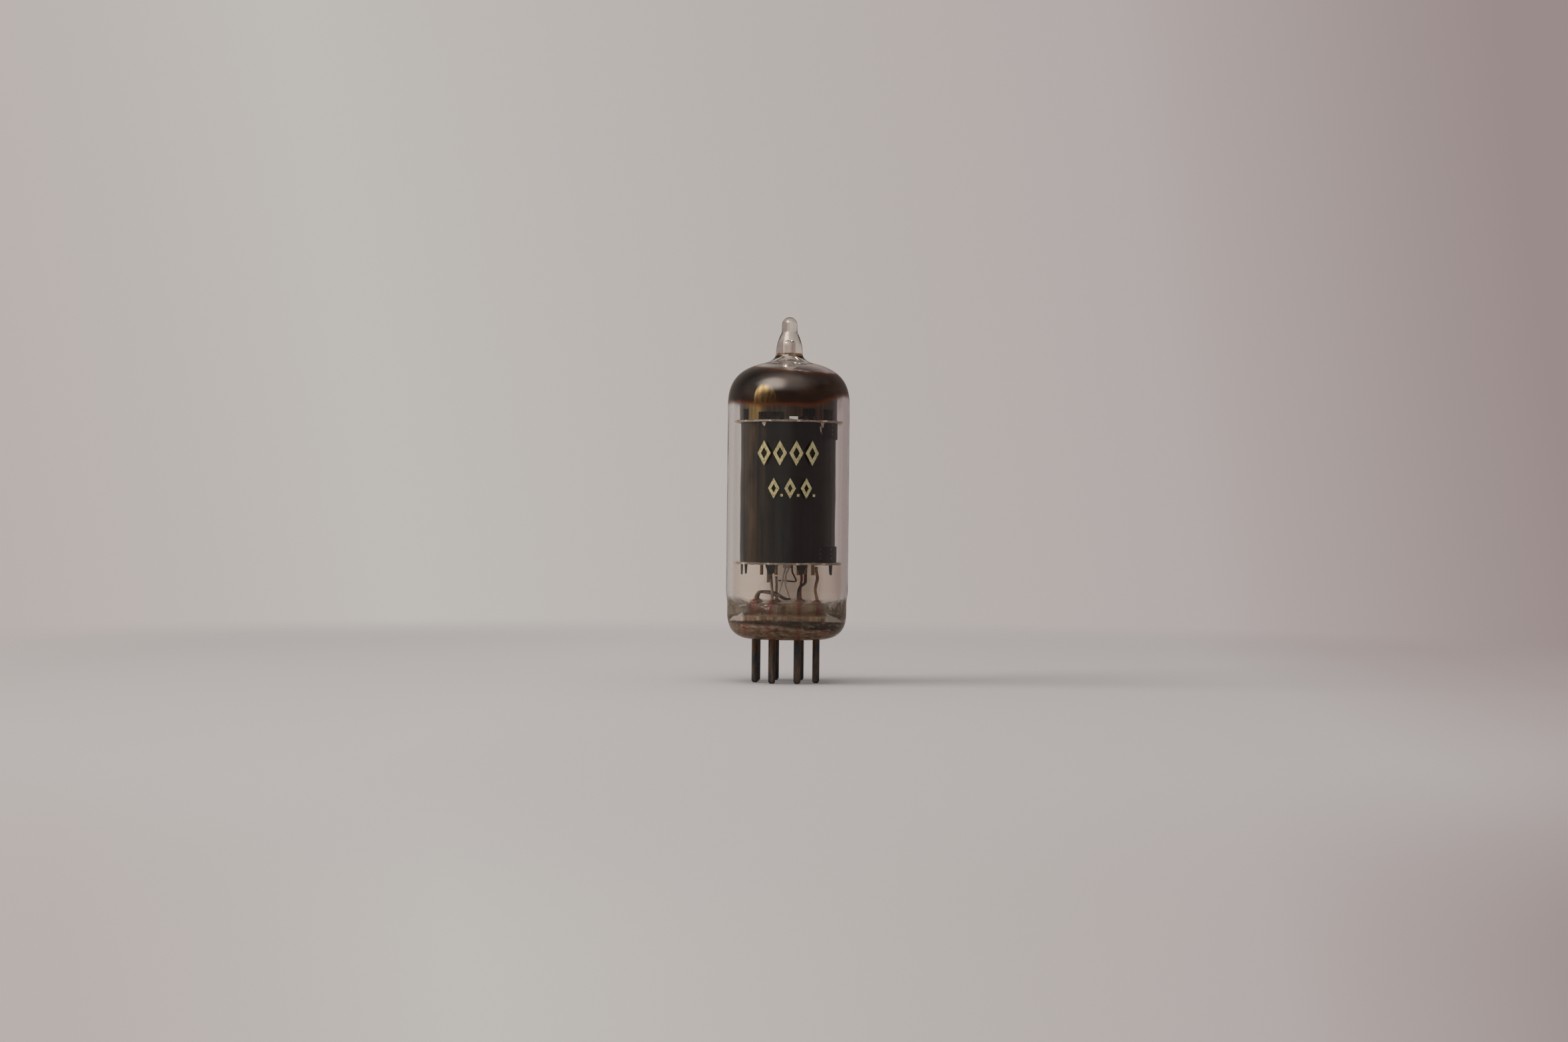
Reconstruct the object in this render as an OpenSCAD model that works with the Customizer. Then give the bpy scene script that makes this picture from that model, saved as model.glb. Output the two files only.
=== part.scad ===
// A seven-pin miniature pentode in a glass bulb, standing on its pins.
// Z is the axis of the tube, and Z = 0 is the plane of the pin tips.
// The front is -Y, and the empty place of the pin circle is at the right rear.
// Angles run anticlockwise from +X, seen from above.

/* [Pins] */
// Diameter of a pin
pin_d = 1.016; // [0.9:0.004:1.1]
// Diameter of the circle that the pins stand on
pin_circle_d = 9.525; // [9.3:0.025:9.8]
// Length of a pin below the glass
pin_len = 6.3; // [5.6:0.1:7.2]
// Diameter of the root of a pin, inside the glass
pin_root_d = 0.68; // [0.6:0.02:0.7]
// Length of the root of a pin
pin_root_h = 0.6; // [0.4:0.1:0.9]
// Height of the tapered nose of a pin
pin_nose = 0.25; // [0.15:0.05:0.4]
// Diameter at the end of the nose
pin_nose_d = 0.56; // [0.4:0.02:0.8]
// Diameter of the seal wire that carries on from the pin through the glass
seal_wire_d = 0.56; // [0.4:0.02:0.7]

/* [Button stem] */
// Height of the button stem
stem_h = 5.1; // [4.7:0.1:5.6]
// Glass from the edge of a pin out to the rim of the flat underside
flat_margin = 0.33; // [0.2:0.01:0.45]
// Glass from the pin circle out to the side of the button
button_margin = 1.14; // [1:0.02:1.25]
// Radius of the button's upper edge
button_round = 0.45; // [0.3:0.05:0.6]
// Height of the bottom of the trough between the button and the bulb
trough_h = 3.1; // [2.8:0.1:3.4]
// Height of the glass mound round each lead
mound_h = 0.55; // [0.3:0.05:0.8]
// Radius of a mound where it leaves the button
mound_r = 0.8; // [0.6:0.05:0.9]
// Glass round the wire at the top of a mound
mound_lip = 0.16; // [0.1:0.02:0.24]

/* [Bulb] */
// Outer diameter of the bulb
bulb_d = 17.7; // [17.4:0.1:18.8]
// Thickness of the wall
wall = 0.9; // [0.75:0.05:1]
// How far the foot of the bulb is drawn in, on the radius
foot_draw = 0.2; // [0.1:0.02:0.4]
// Height of the round corner under the foot
corner_h = 3.6; // [3.3:0.1:4]
// Height from the underside of the glass to the full diameter
foot_h = 7.4; // [6.8:0.1:8]
// Height of the shoulder between the foot and the full diameter
shoulder_h = 2.8; // [2.2:0.1:3.3]
// Height of the dome, up to its neck
dome_h = 5.95; // [5.6:0.05:6.6]
// Thickness of the glass where the dome meets its neck, measured along the axis
dome_wall = 0.85; // [0.7:0.05:1]
// The same, measured across the axis
neck_wall = 0.5; // [0.4:0.05:0.7]

/* [Exhaust tip] */
// Radius of the dome where its neck starts
neck_r = 3.9; // [3.4:0.1:4.4]
// Height of the neck
neck_h = 1.45; // [1.2:0.05:1.8]
// Diameter at the root of the tip
tip_root_d = 3.86; // [3.4:0.02:4.4]
// Height of the bell at the root of the tip
bell_h = 3.2; // [2.8:0.1:3.8]
// Diameter of the sealed end
tip_d = 2.26; // [1.9:0.02:2.6]
// Height of the sealed end above the bell
tip_end_h = 2.15; // [1.8:0.05:2.6]
// Diameter of the bore that is left in the root
tip_bore_d = 1.24; // [1:0.02:1.5]
// Height of the bore above the root
tip_bore_h = 1.9; // [1.5:0.1:2.3]

/* [Micas] */
// Thickness of a mica
mica_t = 0.25; // [0.15:0.05:0.35]
// Gap between the round edge of a mica and the bulb
mica_gap = 0.65; // [0.5:0.05:0.8]
// Gap between the point of a spur and the bulb
spur_gap = 0.05; // [0.02:0.01:0.1]
// Number of spurs on a mica
spurs = 12; // [8:2:16]
// Width of a spur at its root
spur_w = 1.1; // [0.8:0.1:1.4]
// Width of a spur at its point
spur_point_w = 0.18; // [0.1:0.02:0.3]
// Clearance of a hole or slot in a mica round what it holds
mica_fit = 0.03; // [0.02:0.01:0.06]
// Space between the button and the lower mica
lead_space = 5.75; // [5.4:0.05:6.4]

/* [Shield can] */
// Gap between the can and the inside of the bulb
can_gap = 1.05; // [0.9:0.05:1.3]
// Thickness of the can's sheet
can_t = 0.18; // [0.12:0.02:0.24]
// Height of the can, from mica to mica
cage_h = 20.2; // [18:0.1:23]
// Width of the open seam
seam_w = 0.2; // [0.1:0.05:0.4]
// Direction of the seam
seam_angle = -15; // [-18:1:-8]
// Width of an ear where it leaves the can
can_ear_w = 0.7; // [0.5:0.05:0.9]
// Width of an ear at its point
can_ear_point = 0.3; // [0.2:0.05:0.45]
// Length of the ears below the lower mica
can_ear_low = 1.5; // [1:0.1:1.8]
// Length of the ears above the upper mica
can_ear_up = 1.2; // [0.9:0.1:1.6]
// Angle of the ears on each side of the X axis
can_ear_angle = 22; // [18:1:28]

/* [Seam clips] */
// Height of a clip
clip_h = 2.35; // [1.8:0.05:3]
// Thickness of a clip
clip_t = 0.22; // [0.16:0.02:0.3]
// Angle that a clip covers
clip_span = 50; // [40:1:60]
// Angle from the end of a clip to the seam
clip_lap = 23; // [15:1:25]

/* [Top shield] */
// Thickness of the top shield's sheet
top_t = 0.15; // [0.1:0.01:0.2]
// Gap between the ears of the can and the skirt that is welded to them
top_weld_gap = 0.02; // [0.01:0.01:0.04]
// Height of the tall windows between the feet
window_h = 1.65; // [1.4:0.05:1.8]
// Height of the whole top shield
top_h = 4.9; // [4.5:0.1:5.2]
// Radius of the shoulder
top_round = 1.7; // [1.3:0.1:2]
// Space between the upper mica and the start of the dome
head_space = 2.45; // [2.1:0.05:3]

/* [Anode] */
// Width of the anode box
anode_w = 9.2; // [8.8:0.1:9.6]
// Depth of the anode box
anode_depth = 6; // [5.6:0.1:6.4]
// Radius of its corners
anode_round = 1.5; // [1.3:0.1:1.6]
// Thickness of the anode sheet
anode_t = 0.2; // [0.14:0.02:0.26]
// Gap between the can and the wings where the two halves are pinched together
wing_gap = 0.82; // [0.5:0.02:1]
// Distance of an anode ear from the middle
anode_ear_x = 2.2; // [2.1:0.05:2.3]
// Width of an anode ear at its root
anode_ear_w = 1.45; // [1.2:0.05:1.6]
// Width of an anode ear at its end
anode_ear_end = 0.6; // [0.4:0.05:0.8]
// Length of the ears below the lower mica
anode_ear_low = 1.45; // [1.3:0.05:1.7]
// Length of the ears above the upper mica
anode_ear_up = 0.7; // [0.5:0.05:1]

/* [Grids] */
// Diameter of a grid's side rods
rod_d = 0.5; // [0.4:0.02:0.56]
// Distance of the control grid's rods from the middle
g1_x = 1.6; // [1.55:0.01:1.7]
// Distance of the screen grid's rods from the middle
g2_x = 2.7; // [2.6:0.01:2.8]
// Gap between the suppressor grid's rods and the anode
g3_gap = 0.4; // [0.3:0.05:0.5]
// Half depth of the control grid's winding
g1_y = 0.95; // [0.85:0.01:1.1]
// Half depth of the screen grid's winding
g2_y = 1.5; // [1.35:0.01:1.65]
// Half depth of the suppressor grid's winding
g3_y = 2.2; // [2:0.01:2.4]
// Pitch of the control grid's winding
g1_pitch = 0.65; // [0.6:0.05:1]
// Pitch of the screen grid's winding
g2_pitch = 0.9; // [0.75:0.05:1.3]
// Pitch of the suppressor grid's winding
g3_pitch = 1.8; // [1.5:0.1:2.5]
// Thickness of the lateral wire
lateral_d = 0.1; // [0.08:0.01:0.14]
// Bare length of the rods at each end of a winding
rod_bare = 0.7; // [0.5:0.1:1.2]
// Length of the control and suppressor rods below the lower mica
rod_tail = 1.6; // [1.5:0.05:1.9]
// Length of the screen rods below the lower mica
g2_tail = 2.7; // [2.5:0.05:2.9]
// Length of all rods above the upper mica
rod_head = 0.8; // [0.5:0.05:1]

/* [Cathode and heater] */
// Outer diameter of the cathode sleeve
cathode_d = 1.2; // [1.1:0.02:1.3]
// Wall of the cathode sleeve
cathode_wall = 0.08; // [0.05:0.01:0.1]
// Length of the sleeve below the lower mica
cathode_tail = 0.6; // [0.5:0.05:0.8]
// Length of the sleeve above the upper mica
cathode_head = 0.4; // [0.2:0.05:0.6]
// Thickness of the coated heater
heater_d = 0.3; // [0.24:0.02:0.34]
// Distance between the heater's two strands
heater_gap = 0.5; // [0.44:0.01:0.54]
// Thickness of the cathode strap
strap_d = 0.24; // [0.18:0.02:0.3]

/* [Inner leads] */
// Diameter of an inner lead
lead_d = 0.44; // [0.34:0.02:0.5]
// Length of the seal wire that stands out of its mound
wire_end = 0.15; // [0.1:0.05:0.3]
// Gap at a welded joint
weld_gap = 0.02; // [0.01:0.01:0.04]

/* [Getter] */
// Diameter of the getter ring, at the middle of its tube
getter_d = 4.4; // [3.8:0.1:5]
// Thickness of the ring's tube
getter_tube_d = 0.7; // [0.5:0.05:0.8]
// Length of the post between the top shield and the ring
getter_post_h = 0.75; // [0.5:0.05:0.9]
// Diameter of the post
getter_post_d = 0.45; // [0.35:0.05:0.6]
// Thickness of the film on the inside of the dome
film_t = 0.04; // [0.03:0.01:0.06]

/* [Hidden] */
$fn = 64;
pins = 7;
places = 8;

// Levels, from the pin tips up
base_z = pin_len;
stem_top_z = base_z + stem_h;
lead_foot_z = stem_top_z + mound_h + wire_end;
low_mica_z = stem_top_z + lead_space;
cage_z = low_mica_z + mica_t;
cage_top_z = cage_z + cage_h;
deck_z = cage_top_z + mica_t;
dome_z = deck_z + head_space;
neck_z = dome_z + dome_h;
root_z = neck_z + neck_h;
bell_top_z = root_z + bell_h;
tip_top_z = bell_top_z + tip_end_h;

// Radii of the glass
bulb_r = bulb_d / 2;
inner_r = bulb_r - wall;
foot_r = bulb_r - foot_draw;
flat_r = (pin_circle_d + pin_d) / 2 + flat_margin;
button_r = pin_circle_d / 2 + button_margin;
valley_w = inner_r - button_r;
trough_r = button_r + 0.415 * valley_w;
trough_z = base_z + trough_h;
inner_dome_h = dome_h - dome_wall;
throat_r = neck_r - neck_wall;
throat_z = dome_z + inner_dome_h;
throat_h = root_z - throat_z;

// Radii and places inside
can_r = inner_r - can_gap;
top_r = can_r + top_weld_gap + top_t;
wing_x = can_r - can_t - wing_gap;
g3_x = anode_w / 2 - anode_t - g3_gap - rod_d / 2;
rod_weld = rod_d / 2 + lead_d / 2 + weld_gap;
anode_wall_y = anode_depth / 2 - anode_t;
ear_weld_y = anode_wall_y - lead_d / 2 - weld_gap;
heater_weld = lead_d / 2 + heater_d / 4 + weld_gap;
strap_x = cathode_d / 2 + strap_d / 2 + weld_gap;
getter_z = deck_z + top_h + getter_post_h + getter_tube_d / 2;

// Place on the seal where the outer corner of the glass changes from stem to bulb
seal_t = 0.75;
corner_steps = 12;
dome_steps = 16;
// First and last step of the inner dome that the film covers
film_from = 1;
film_to = 13;
// How far a blank or a root goes past the face that it cuts or joins
over = 0.5;
// Depth of a blank on each side of a rolled sheet
blank = 1;

function polar(r, a) = [r * cos(a), r * sin(a)];
function pin_place(k) = polar(pin_circle_d / 2, 360 / places * (k + 0.5));
function unit(v) = v / norm(v);

// A point of a cubic curve with four control points, and a list of such points
function bezier(p, t) =
    pow(1 - t, 3) * p[0] + 3 * t * pow(1 - t, 2) * p[1] + 3 * t * t * (1 - t) * p[2] + pow(t, 3) * p[3];
function bezier_points(p, n, from = 0, to = 1) =
    [for (i = [0 : n]) bezier(p, from + (to - from) * i / n)];
function reversed(p) = [for (i = [len(p) - 1 : -1 : 0]) p[i]];

// A smooth path through all the points of a hand-made route
function between(a, b, c, d, t) =
    b + t * (c - a) / 2 + t * t * (a - 2.5 * b + 2 * c - d / 2) + pow(t, 3) * (3 * b - a - 3 * c + d) / 2;
function smooth(p, n) = let (last = len(p) - 1) concat(
    [for (i = [0 : last - 1]) for (j = [0 : n - 1])
        between(p[max(i - 1, 0)], p[i], p[i + 1], p[min(i + 2, last)], j / n)],
    [p[last]]
);

// Direction of a path at each point, and a normal that is carried along it without twist
function heading(p, i) = unit(p[min(i + 1, len(p) - 1)] - p[max(i - 1, 0)]);
function across(v, d) = unit(v - (v * d) * d);
function normals(p) = [
    for (
        i = 0, n = across([0.3, 0.9, 0.1], heading(p, 0));
        i < len(p);
        i = i + 1, n = across(n, heading(p, min(i, len(p) - 1)))
    ) n
];

// A round wire along a path
module wire(path, d, sides = 8) {
    last = len(path) - 1;
    across_path = normals(path);
    points = [for (i = [0 : last]) for (j = [0 : sides - 1])
        let (n = across_path[i], b = cross(heading(path, i), n), a = 360 * j / sides)
            path[i] + d / 2 * (cos(a) * n + sin(a) * b)];
    walls = [for (i = [0 : last - 1]) for (j = [0 : sides - 1])
        let (k = (j + 1) % sides)
            [i * sides + j, (i + 1) * sides + j, (i + 1) * sides + k, i * sides + k]];
    start = [for (j = [0 : sides - 1]) j];
    end = [for (j = [sides - 1 : -1 : 0]) last * sides + j];
    polyhedron(points, concat([start], walls, [end]), convexity = 8);
}

// Outer corner under the foot, shared by the stem and the bulb
foot_corner = [
    [flat_r, base_z],
    [flat_r + 0.7 * (foot_r - flat_r), base_z + 0.07 * corner_h],
    [foot_r, base_z + 0.47 * corner_h],
    [foot_r, base_z + corner_h]
];
inner_dome = [
    [inner_r, dome_z],
    [inner_r, dome_z + 0.53 * inner_dome_h],
    [inner_r - 0.3 * (inner_r - throat_r), dome_z + 0.85 * inner_dome_h],
    [throat_r, throat_z]
];
inner_dome_points = bezier_points(inner_dome, dome_steps);

function bulb_outside() = concat(
    bezier_points(foot_corner, 4, seal_t, 1),
    bezier_points([
        [foot_r, base_z + foot_h - shoulder_h],
        [foot_r, base_z + foot_h - shoulder_h / 2],
        [bulb_r, base_z + foot_h - shoulder_h / 2],
        [bulb_r, base_z + foot_h]
    ], 8),
    bezier_points([
        [bulb_r, dome_z],
        [bulb_r, dome_z + 0.555 * dome_h],
        [bulb_r - 0.3 * (bulb_r - neck_r), dome_z + 0.857 * dome_h],
        [neck_r, neck_z]
    ], dome_steps)
);

function tip_outside() = let (root_r = tip_root_d / 2, end_r = tip_d / 2) concat(
    bezier_points([
        [neck_r, neck_z],
        [neck_r - 0.55 * (neck_r - root_r), neck_z + 0.18 * neck_h],
        [1.05 * root_r, neck_z + 0.45 * neck_h],
        [root_r, root_z]
    ], 8, 0.1),
    bezier_points([
        [root_r, root_z],
        [1.03 * root_r, root_z + 0.38 * bell_h],
        [end_r + 0.5 * (root_r - end_r), root_z + 0.72 * bell_h],
        [end_r, bell_top_z]
    ], 8, 0.1, 0.98),
    [for (a = [0 : 15 : 90]) [end_r * cos(a), tip_top_z - end_r + end_r * sin(a)]]
);

function bulb_inside() = let (bore_r = tip_bore_d / 2, top = root_z + tip_bore_h) concat(
    [[0, top], [0.6 * bore_r, top - 0.1 * bore_r], [bore_r, top - 0.6 * bore_r]],
    bezier_points([
        [bore_r, root_z - 0.17 * throat_h],
        [1.16 * bore_r, root_z - 0.43 * throat_h],
        [0.5 * throat_r, throat_z + 0.15 * throat_h],
        [throat_r, throat_z]
    ], 8),
    [for (i = [dome_steps - 1 : -1 : 0]) inner_dome_points[i]],
    bezier_points([
        [inner_r, base_z + foot_h],
        [inner_r, trough_z + 0.62 * (foot_h - trough_h)],
        [inner_r - 0.22 * valley_w, trough_z + 0.12 * (foot_h - trough_h)],
        [trough_r, trough_z]
    ], 10)
);

module glass_bulb() {
    color("lightcyan", 0.35)
    rotate_extrude()
    polygon(concat(bulb_outside(), tip_outside(), bulb_inside()));
}

// The pressed glass button with its pins' sockets and a mound round each lead
module button_stem() {
    mound_top_r = seal_wire_d / 2 + mound_lip;
    mound_foot_r = mound_r + (mound_r - mound_top_r) * over / mound_h;
    color("paleturquoise", 0.45)
    difference() {
        union() {
            rotate_extrude()
            polygon(concat(
                [[0, base_z]],
                bezier_points(foot_corner, corner_steps, 0, seal_t),
                [
                    [trough_r, trough_z],
                    [button_r + 0.22 * valley_w, trough_z + 0.1 * (stem_h - trough_h)]
                ],
                [for (a = [0 : 30 : 90])
                    [button_r + button_round * (cos(a) - 1), stem_top_z + button_round * (sin(a) - 1)]],
                [[0, stem_top_z]]
            ));
            for (k = [1 : pins])
                translate(concat(pin_place(k), stem_top_z - over))
                cylinder(h = over + mound_h, r1 = mound_foot_r, r2 = mound_top_r);
        }
        for (k = [1 : pins])
            translate(pin_place(k)) {
                translate([0, 0, base_z - over])
                cylinder(h = pin_root_h + over, d = pin_root_d);
                translate([0, 0, base_z])
                cylinder(h = stem_h + mound_h + over, d = seal_wire_d);
            }
    }
}

module pin(k) {
    color("slategray")
    translate(pin_place(k)) {
        cylinder(h = pin_nose, d1 = pin_nose_d, d2 = pin_d);
        translate([0, 0, pin_nose])
        cylinder(h = pin_len - pin_nose, d = pin_d);
        translate([0, 0, pin_len - over])
        cylinder(h = pin_root_h + over, d = pin_root_d);
    }
}

module seal_wire(k) {
    color("firebrick")
    translate(concat(pin_place(k), base_z + pin_root_h))
    cylinder(h = lead_foot_z - base_z - pin_root_h, d = seal_wire_d);
}

module mica_slot(x, y, w, t) {
    translate([x, y])
    square([w + 2 * mica_fit, t + 2 * mica_fit], center = true);
}

// A mica disc with spurs that grip the bulb, and holes for the electrodes
module mica(z) {
    round_r = inner_r - mica_gap;
    root_x = sqrt(pow(round_r, 2) - pow(spur_w, 2));
    point_x = inner_r - spur_gap;
    bend_room = pow(can_ear_w, 2) / (8 * can_r);
    color("wheat", 0.8)
    translate([0, 0, z])
    linear_extrude(mica_t)
    difference() {
        union() {
            circle(r = round_r);
            for (i = [0 : spurs - 1])
                rotate(360 / spurs * (i + 0.5))
                polygon([
                    [root_x, -spur_w / 2],
                    [point_x, -spur_point_w / 2],
                    [point_x, spur_point_w / 2],
                    [root_x, spur_w / 2]
                ]);
        }
        circle(d = cathode_d + 2 * mica_fit);
        for (side = [-1, 1]) {
            for (x = [g1_x, g2_x, g3_x])
                translate([side * x, 0])
                circle(d = rod_d + 2 * mica_fit);
            for (y = [-1, 1]) {
                mica_slot(side * anode_ear_x, y * (anode_depth - anode_t) / 2, anode_ear_w, anode_t);
                rotate(side * can_ear_angle + 90 * (y + 1))
                mica_slot(can_r - (can_t + bend_room) / 2, 0, can_t + bend_room, can_ear_w);
            }
        }
    }
}

module lower_mica() mica(low_mica_z);
module upper_mica() mica(cage_top_z);

// A tapered ear, drawn in the plane of its sheet, from below a mica up into the sheet
module ear(w, point_w, l) {
    taper_y = -mica_t - 0.2 * l;
    polygon([
        [-w / 2, over],
        [-w / 2, taper_y],
        [-point_w / 2, -mica_t - l],
        [point_w / 2, -mica_t - l],
        [w / 2, taper_y],
        [w / 2, over]
    ]);
}

module can_ears(z, l) {
    for (side = [-1, 1])
        for (y = [-1, 1])
            rotate([0, 0, side * can_ear_angle + 90 * (y + 1)])
            translate([can_r - blank, 0, z])
            rotate([90, 0, 90])
            linear_extrude(2 * blank)
            ear(can_ear_w, can_ear_point, l);
}

// The rolled can between the micas, with its open seam and its eight ears
module shield_can() {
    low_z = low_mica_z - can_ear_low;
    top_z = deck_z + can_ear_up;
    color("dimgray")
    difference() {
        intersection() {
            translate([0, 0, low_z])
            difference() {
                cylinder(h = top_z - low_z, r = can_r);
                translate([0, 0, -over])
                cylinder(h = top_z - low_z + 2 * over, r = can_r - can_t);
            }
            union() {
                translate([0, 0, cage_z])
                cylinder(h = cage_h, r = can_r + blank);
                can_ears(cage_z, can_ear_low);
                mirror([0, 0, 1])
                can_ears(-cage_top_z, can_ear_up);
            }
        }
        rotate([0, 0, seam_angle])
        translate([can_r - blank, -seam_w / 2, cage_z - over])
        cube([2 * blank, seam_w, cage_h + 2 * over]);
    }
}

// A strap welded over the seam of the can
module seam_clip(z) {
    color("black")
    translate([0, 0, z])
    rotate([0, 0, seam_angle + clip_lap - clip_span])
    rotate_extrude(angle = clip_span)
    translate([can_r, 0])
    square([clip_t, clip_h]);
}

module upper_seam_clip() seam_clip(cage_top_z - clip_h);
module lower_seam_clip() seam_clip(cage_z);

// The drawn cap over the upper mica, on feet between its windows
module top_shield() {
    top_z = deck_z + top_h;
    // Start angle, span and share of the full height of each window, in front and then at the back
    windows = concat(
        [[-150, 11, 1], [-123, 31, 0.7], [-86, 16, 0.3], [-71, 16, 1], [-44, 17, 1]],
        [[45, 9, 1], [77, 16, 0.85], [133, 11, 1]]
    );
    color("darkslategray")
    difference() {
        rotate_extrude()
        polygon(concat(
            [[top_r, deck_z]],
            [for (a = [0 : 15 : 90])
                [top_r - top_round + top_round * cos(a), top_z - top_round + top_round * sin(a)]],
            [[0, top_z], [0, top_z - top_t]],
            [for (a = [90 : -15 : 0]) let (r = top_round - top_t)
                [top_r - top_round + r * cos(a), top_z - top_round + r * sin(a)]],
            [[top_r - top_t, deck_z]]
        ));
        for (w = windows)
            rotate([0, 0, w[0]])
            rotate_extrude(angle = w[1])
            translate([top_r - blank, deck_z - over])
            square([2 * blank, over + w[2] * window_h]);
    }
}

module round_box(w, depth, r) {
    square([w - 2 * r, depth], center = true);
    square([w, depth - 2 * r], center = true);
    for (x = [-1, 1])
        for (y = [-1, 1])
            translate([x * (w / 2 - r), y * (depth / 2 - r)])
            circle(r = r);
}

module anode_ears(z, l) {
    for (x = [-1, 1])
        for (y = [-1, 1])
            translate([x * anode_ear_x, y * (anode_depth - anode_t) / 2 + anode_t / 2, z])
            rotate([90, 0, 0])
            linear_extrude(anode_t)
            ear(anode_ear_w, anode_ear_end, l);
}

// The two-part anode box: its halves are pinched together at the wings
module anode() {
    color("darkgray")
    union() {
        translate([0, 0, cage_z])
        linear_extrude(cage_h)
        difference() {
            union() {
                round_box(anode_w, anode_depth, anode_round);
                square([2 * wing_x, 2 * anode_t], center = true);
            }
            round_box(anode_w - 2 * anode_t, anode_depth - 2 * anode_t, anode_round - anode_t);
        }
        anode_ears(cage_z, anode_ear_low);
        mirror([0, 0, 1])
        anode_ears(-cage_top_z, anode_ear_up);
    }
}

// Two side rods with a lateral wire wound round them and pressed into them
module grid(x, y, pitch, tail) {
    lateral_x = x + rod_d / 2 - lateral_d / 4;
    wound_h = cage_h - 2 * rod_bare;
    turns = floor(wound_h / pitch);
    steps = 8;
    start_z = cage_z + (cage_h - turns * pitch) / 2;
    union() {
        for (side = [-1, 1])
            translate([side * x, 0, low_mica_z - tail])
            cylinder(h = deck_z + rod_head - low_mica_z + tail, d = rod_d);
        wire([for (i = [0 : turns * steps]) let (a = 360 * i / steps)
            [lateral_x * cos(a), y * sin(a), start_z + pitch * i / steps]], lateral_d, 4);
    }
}

module suppressor_grid() color("silver") grid(g3_x, g3_y, g3_pitch, rod_tail);
module screen_grid() color("lightgray") grid(g2_x, g2_y, g2_pitch, g2_tail);
module control_grid() color("gold") grid(g1_x, g1_y, g1_pitch, rod_tail);

module cathode() {
    h = cathode_tail + cage_h + 2 * mica_t + cathode_head;
    color("whitesmoke")
    translate([0, 0, low_mica_z - cathode_tail])
    difference() {
        cylinder(h = h, d = cathode_d);
        translate([0, 0, -over])
        cylinder(h = h + 2 * over, d = cathode_d - 2 * cathode_wall);
    }
}

// Height at a share of the space between the feet of the leads and the lower mica
function lead_z(share) = lead_foot_z + share * (low_mica_z - lead_foot_z);
// A point at an offset from a pin's place, at such a height
function above_pin(k, dx, dy, share) = concat(pin_place(k) + [dx, dy], lead_z(share));

heater_end_a = [-1.1, -1.3, lead_z(0.17)];
heater_end_b = [0.3, 0.65, lead_z(0.06)];

// Route of each inner lead, from above its seal wire to the electrode that it feeds
lead_routes = [
    // Control grid
    [
        above_pin(1, 0, -0.1, 0.15), above_pin(1, 0.1, -1.5, 0.4),
        [g1_x + rod_weld, 1.3, lead_z(0.56)],
        [g1_x + 0.9 * rod_weld, 1.3 * rod_weld, low_mica_z - rod_tail],
        [g1_x + 0.75 * rod_weld, 0.75 * rod_weld, low_mica_z - rod_tail + 0.5],
        [g1_x + 0.75 * rod_weld, 0.75 * rod_weld, low_mica_z - rod_tail + 1]
    ],
    // Cathode
    [above_pin(2, 0, 0, 0.3), above_pin(2, -0.05, 0, 0.62)],
    // Heater, back
    [
        above_pin(3, 0.05, 0, 0.08), above_pin(3, 0.45, -0.1, 0.18),
        [-2, 1.3, lead_z(0.16)], [-0.6, 0.85, lead_z(0.04)],
        [heater_end_b.x - 0.3, heater_end_b.y + 0.05, heater_end_b.z - heater_weld],
        [heater_end_b.x + 0.25, heater_end_b.y - 0.05, heater_end_b.z - heater_weld]
    ],
    // Heater, front
    [
        above_pin(4, 0.05, 0, 0.1), above_pin(4, 0.55, 0, 0.2),
        [-2.4, -1.6, lead_z(0.17)],
        [heater_end_a.x - 0.3, heater_end_a.y - 0.05, heater_end_a.z - heater_weld],
        [heater_end_a.x + 0.25, heater_end_a.y + 0.05, heater_end_a.z - heater_weld]
    ],
    // Anode
    [
        above_pin(5, -0.05, 0.1, 0.25), above_pin(5, -0.2, 0.9, 0.5),
        [-anode_ear_x, -ear_weld_y, low_mica_z - anode_ear_low - 0.1],
        [-anode_ear_x, -ear_weld_y, low_mica_z - 0.5]
    ],
    // Screen grid
    [
        above_pin(6, 0, 0.1, 0.15), above_pin(6, 0.2, 1.1, 0.35),
        [g2_x - 0.1, -1.5, lead_z(0.44)],
        [g2_x, -1.3 * rod_weld, low_mica_z - g2_tail + 0.2],
        [g2_x, -1.05 * rod_weld, low_mica_z - g2_tail + 0.7],
        [g2_x, -1.05 * rod_weld, low_mica_z - g2_tail + 1.2]
    ],
    // Suppressor grid
    [
        above_pin(7, -0.12, 0.05, 0.12), above_pin(7, -0.28, 0.3, 0.28),
        above_pin(7, -0.15, 0.8, 0.45), above_pin(7, 0, 1.3, 0.6),
        [g3_x + rod_weld, 0, low_mica_z - rod_tail + 0.5],
        [g3_x + rod_weld, 0, low_mica_z - rod_tail + 1.2]
    ]
];

// Each lead starts upright on its seal wire
module inner_lead(k) {
    foot = above_pin(k, 0, 0, 0);
    lift = [0, 0, lead_d / 2];
    color("darkkhaki")
    wire(concat([foot], smooth(concat([foot + lift], lead_routes[k - 1]), 3)), lead_d);
}

// A thin wire that crosses level from the cathode's lead, then turns up the side of the sleeve
module cathode_strap() {
    lead = lead_routes[1][0];
    start = [lead.x + (lead_d + strap_d) / 2 + weld_gap, lead.y, lead_z(0.5)];
    turn = [1.6 * strap_x, 1.2, start.z];
    color("dimgray")
    wire(smooth([
        start,
        start + 0.5 * (turn - start),
        turn,
        [1.45 * strap_x, 0.6, lead_z(0.62)],
        [strap_x, 0, lead_z(0.78)],
        [strap_x, 0, low_mica_z - 2 * mica_fit]
    ], 3), strap_d, 6);
}

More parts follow.
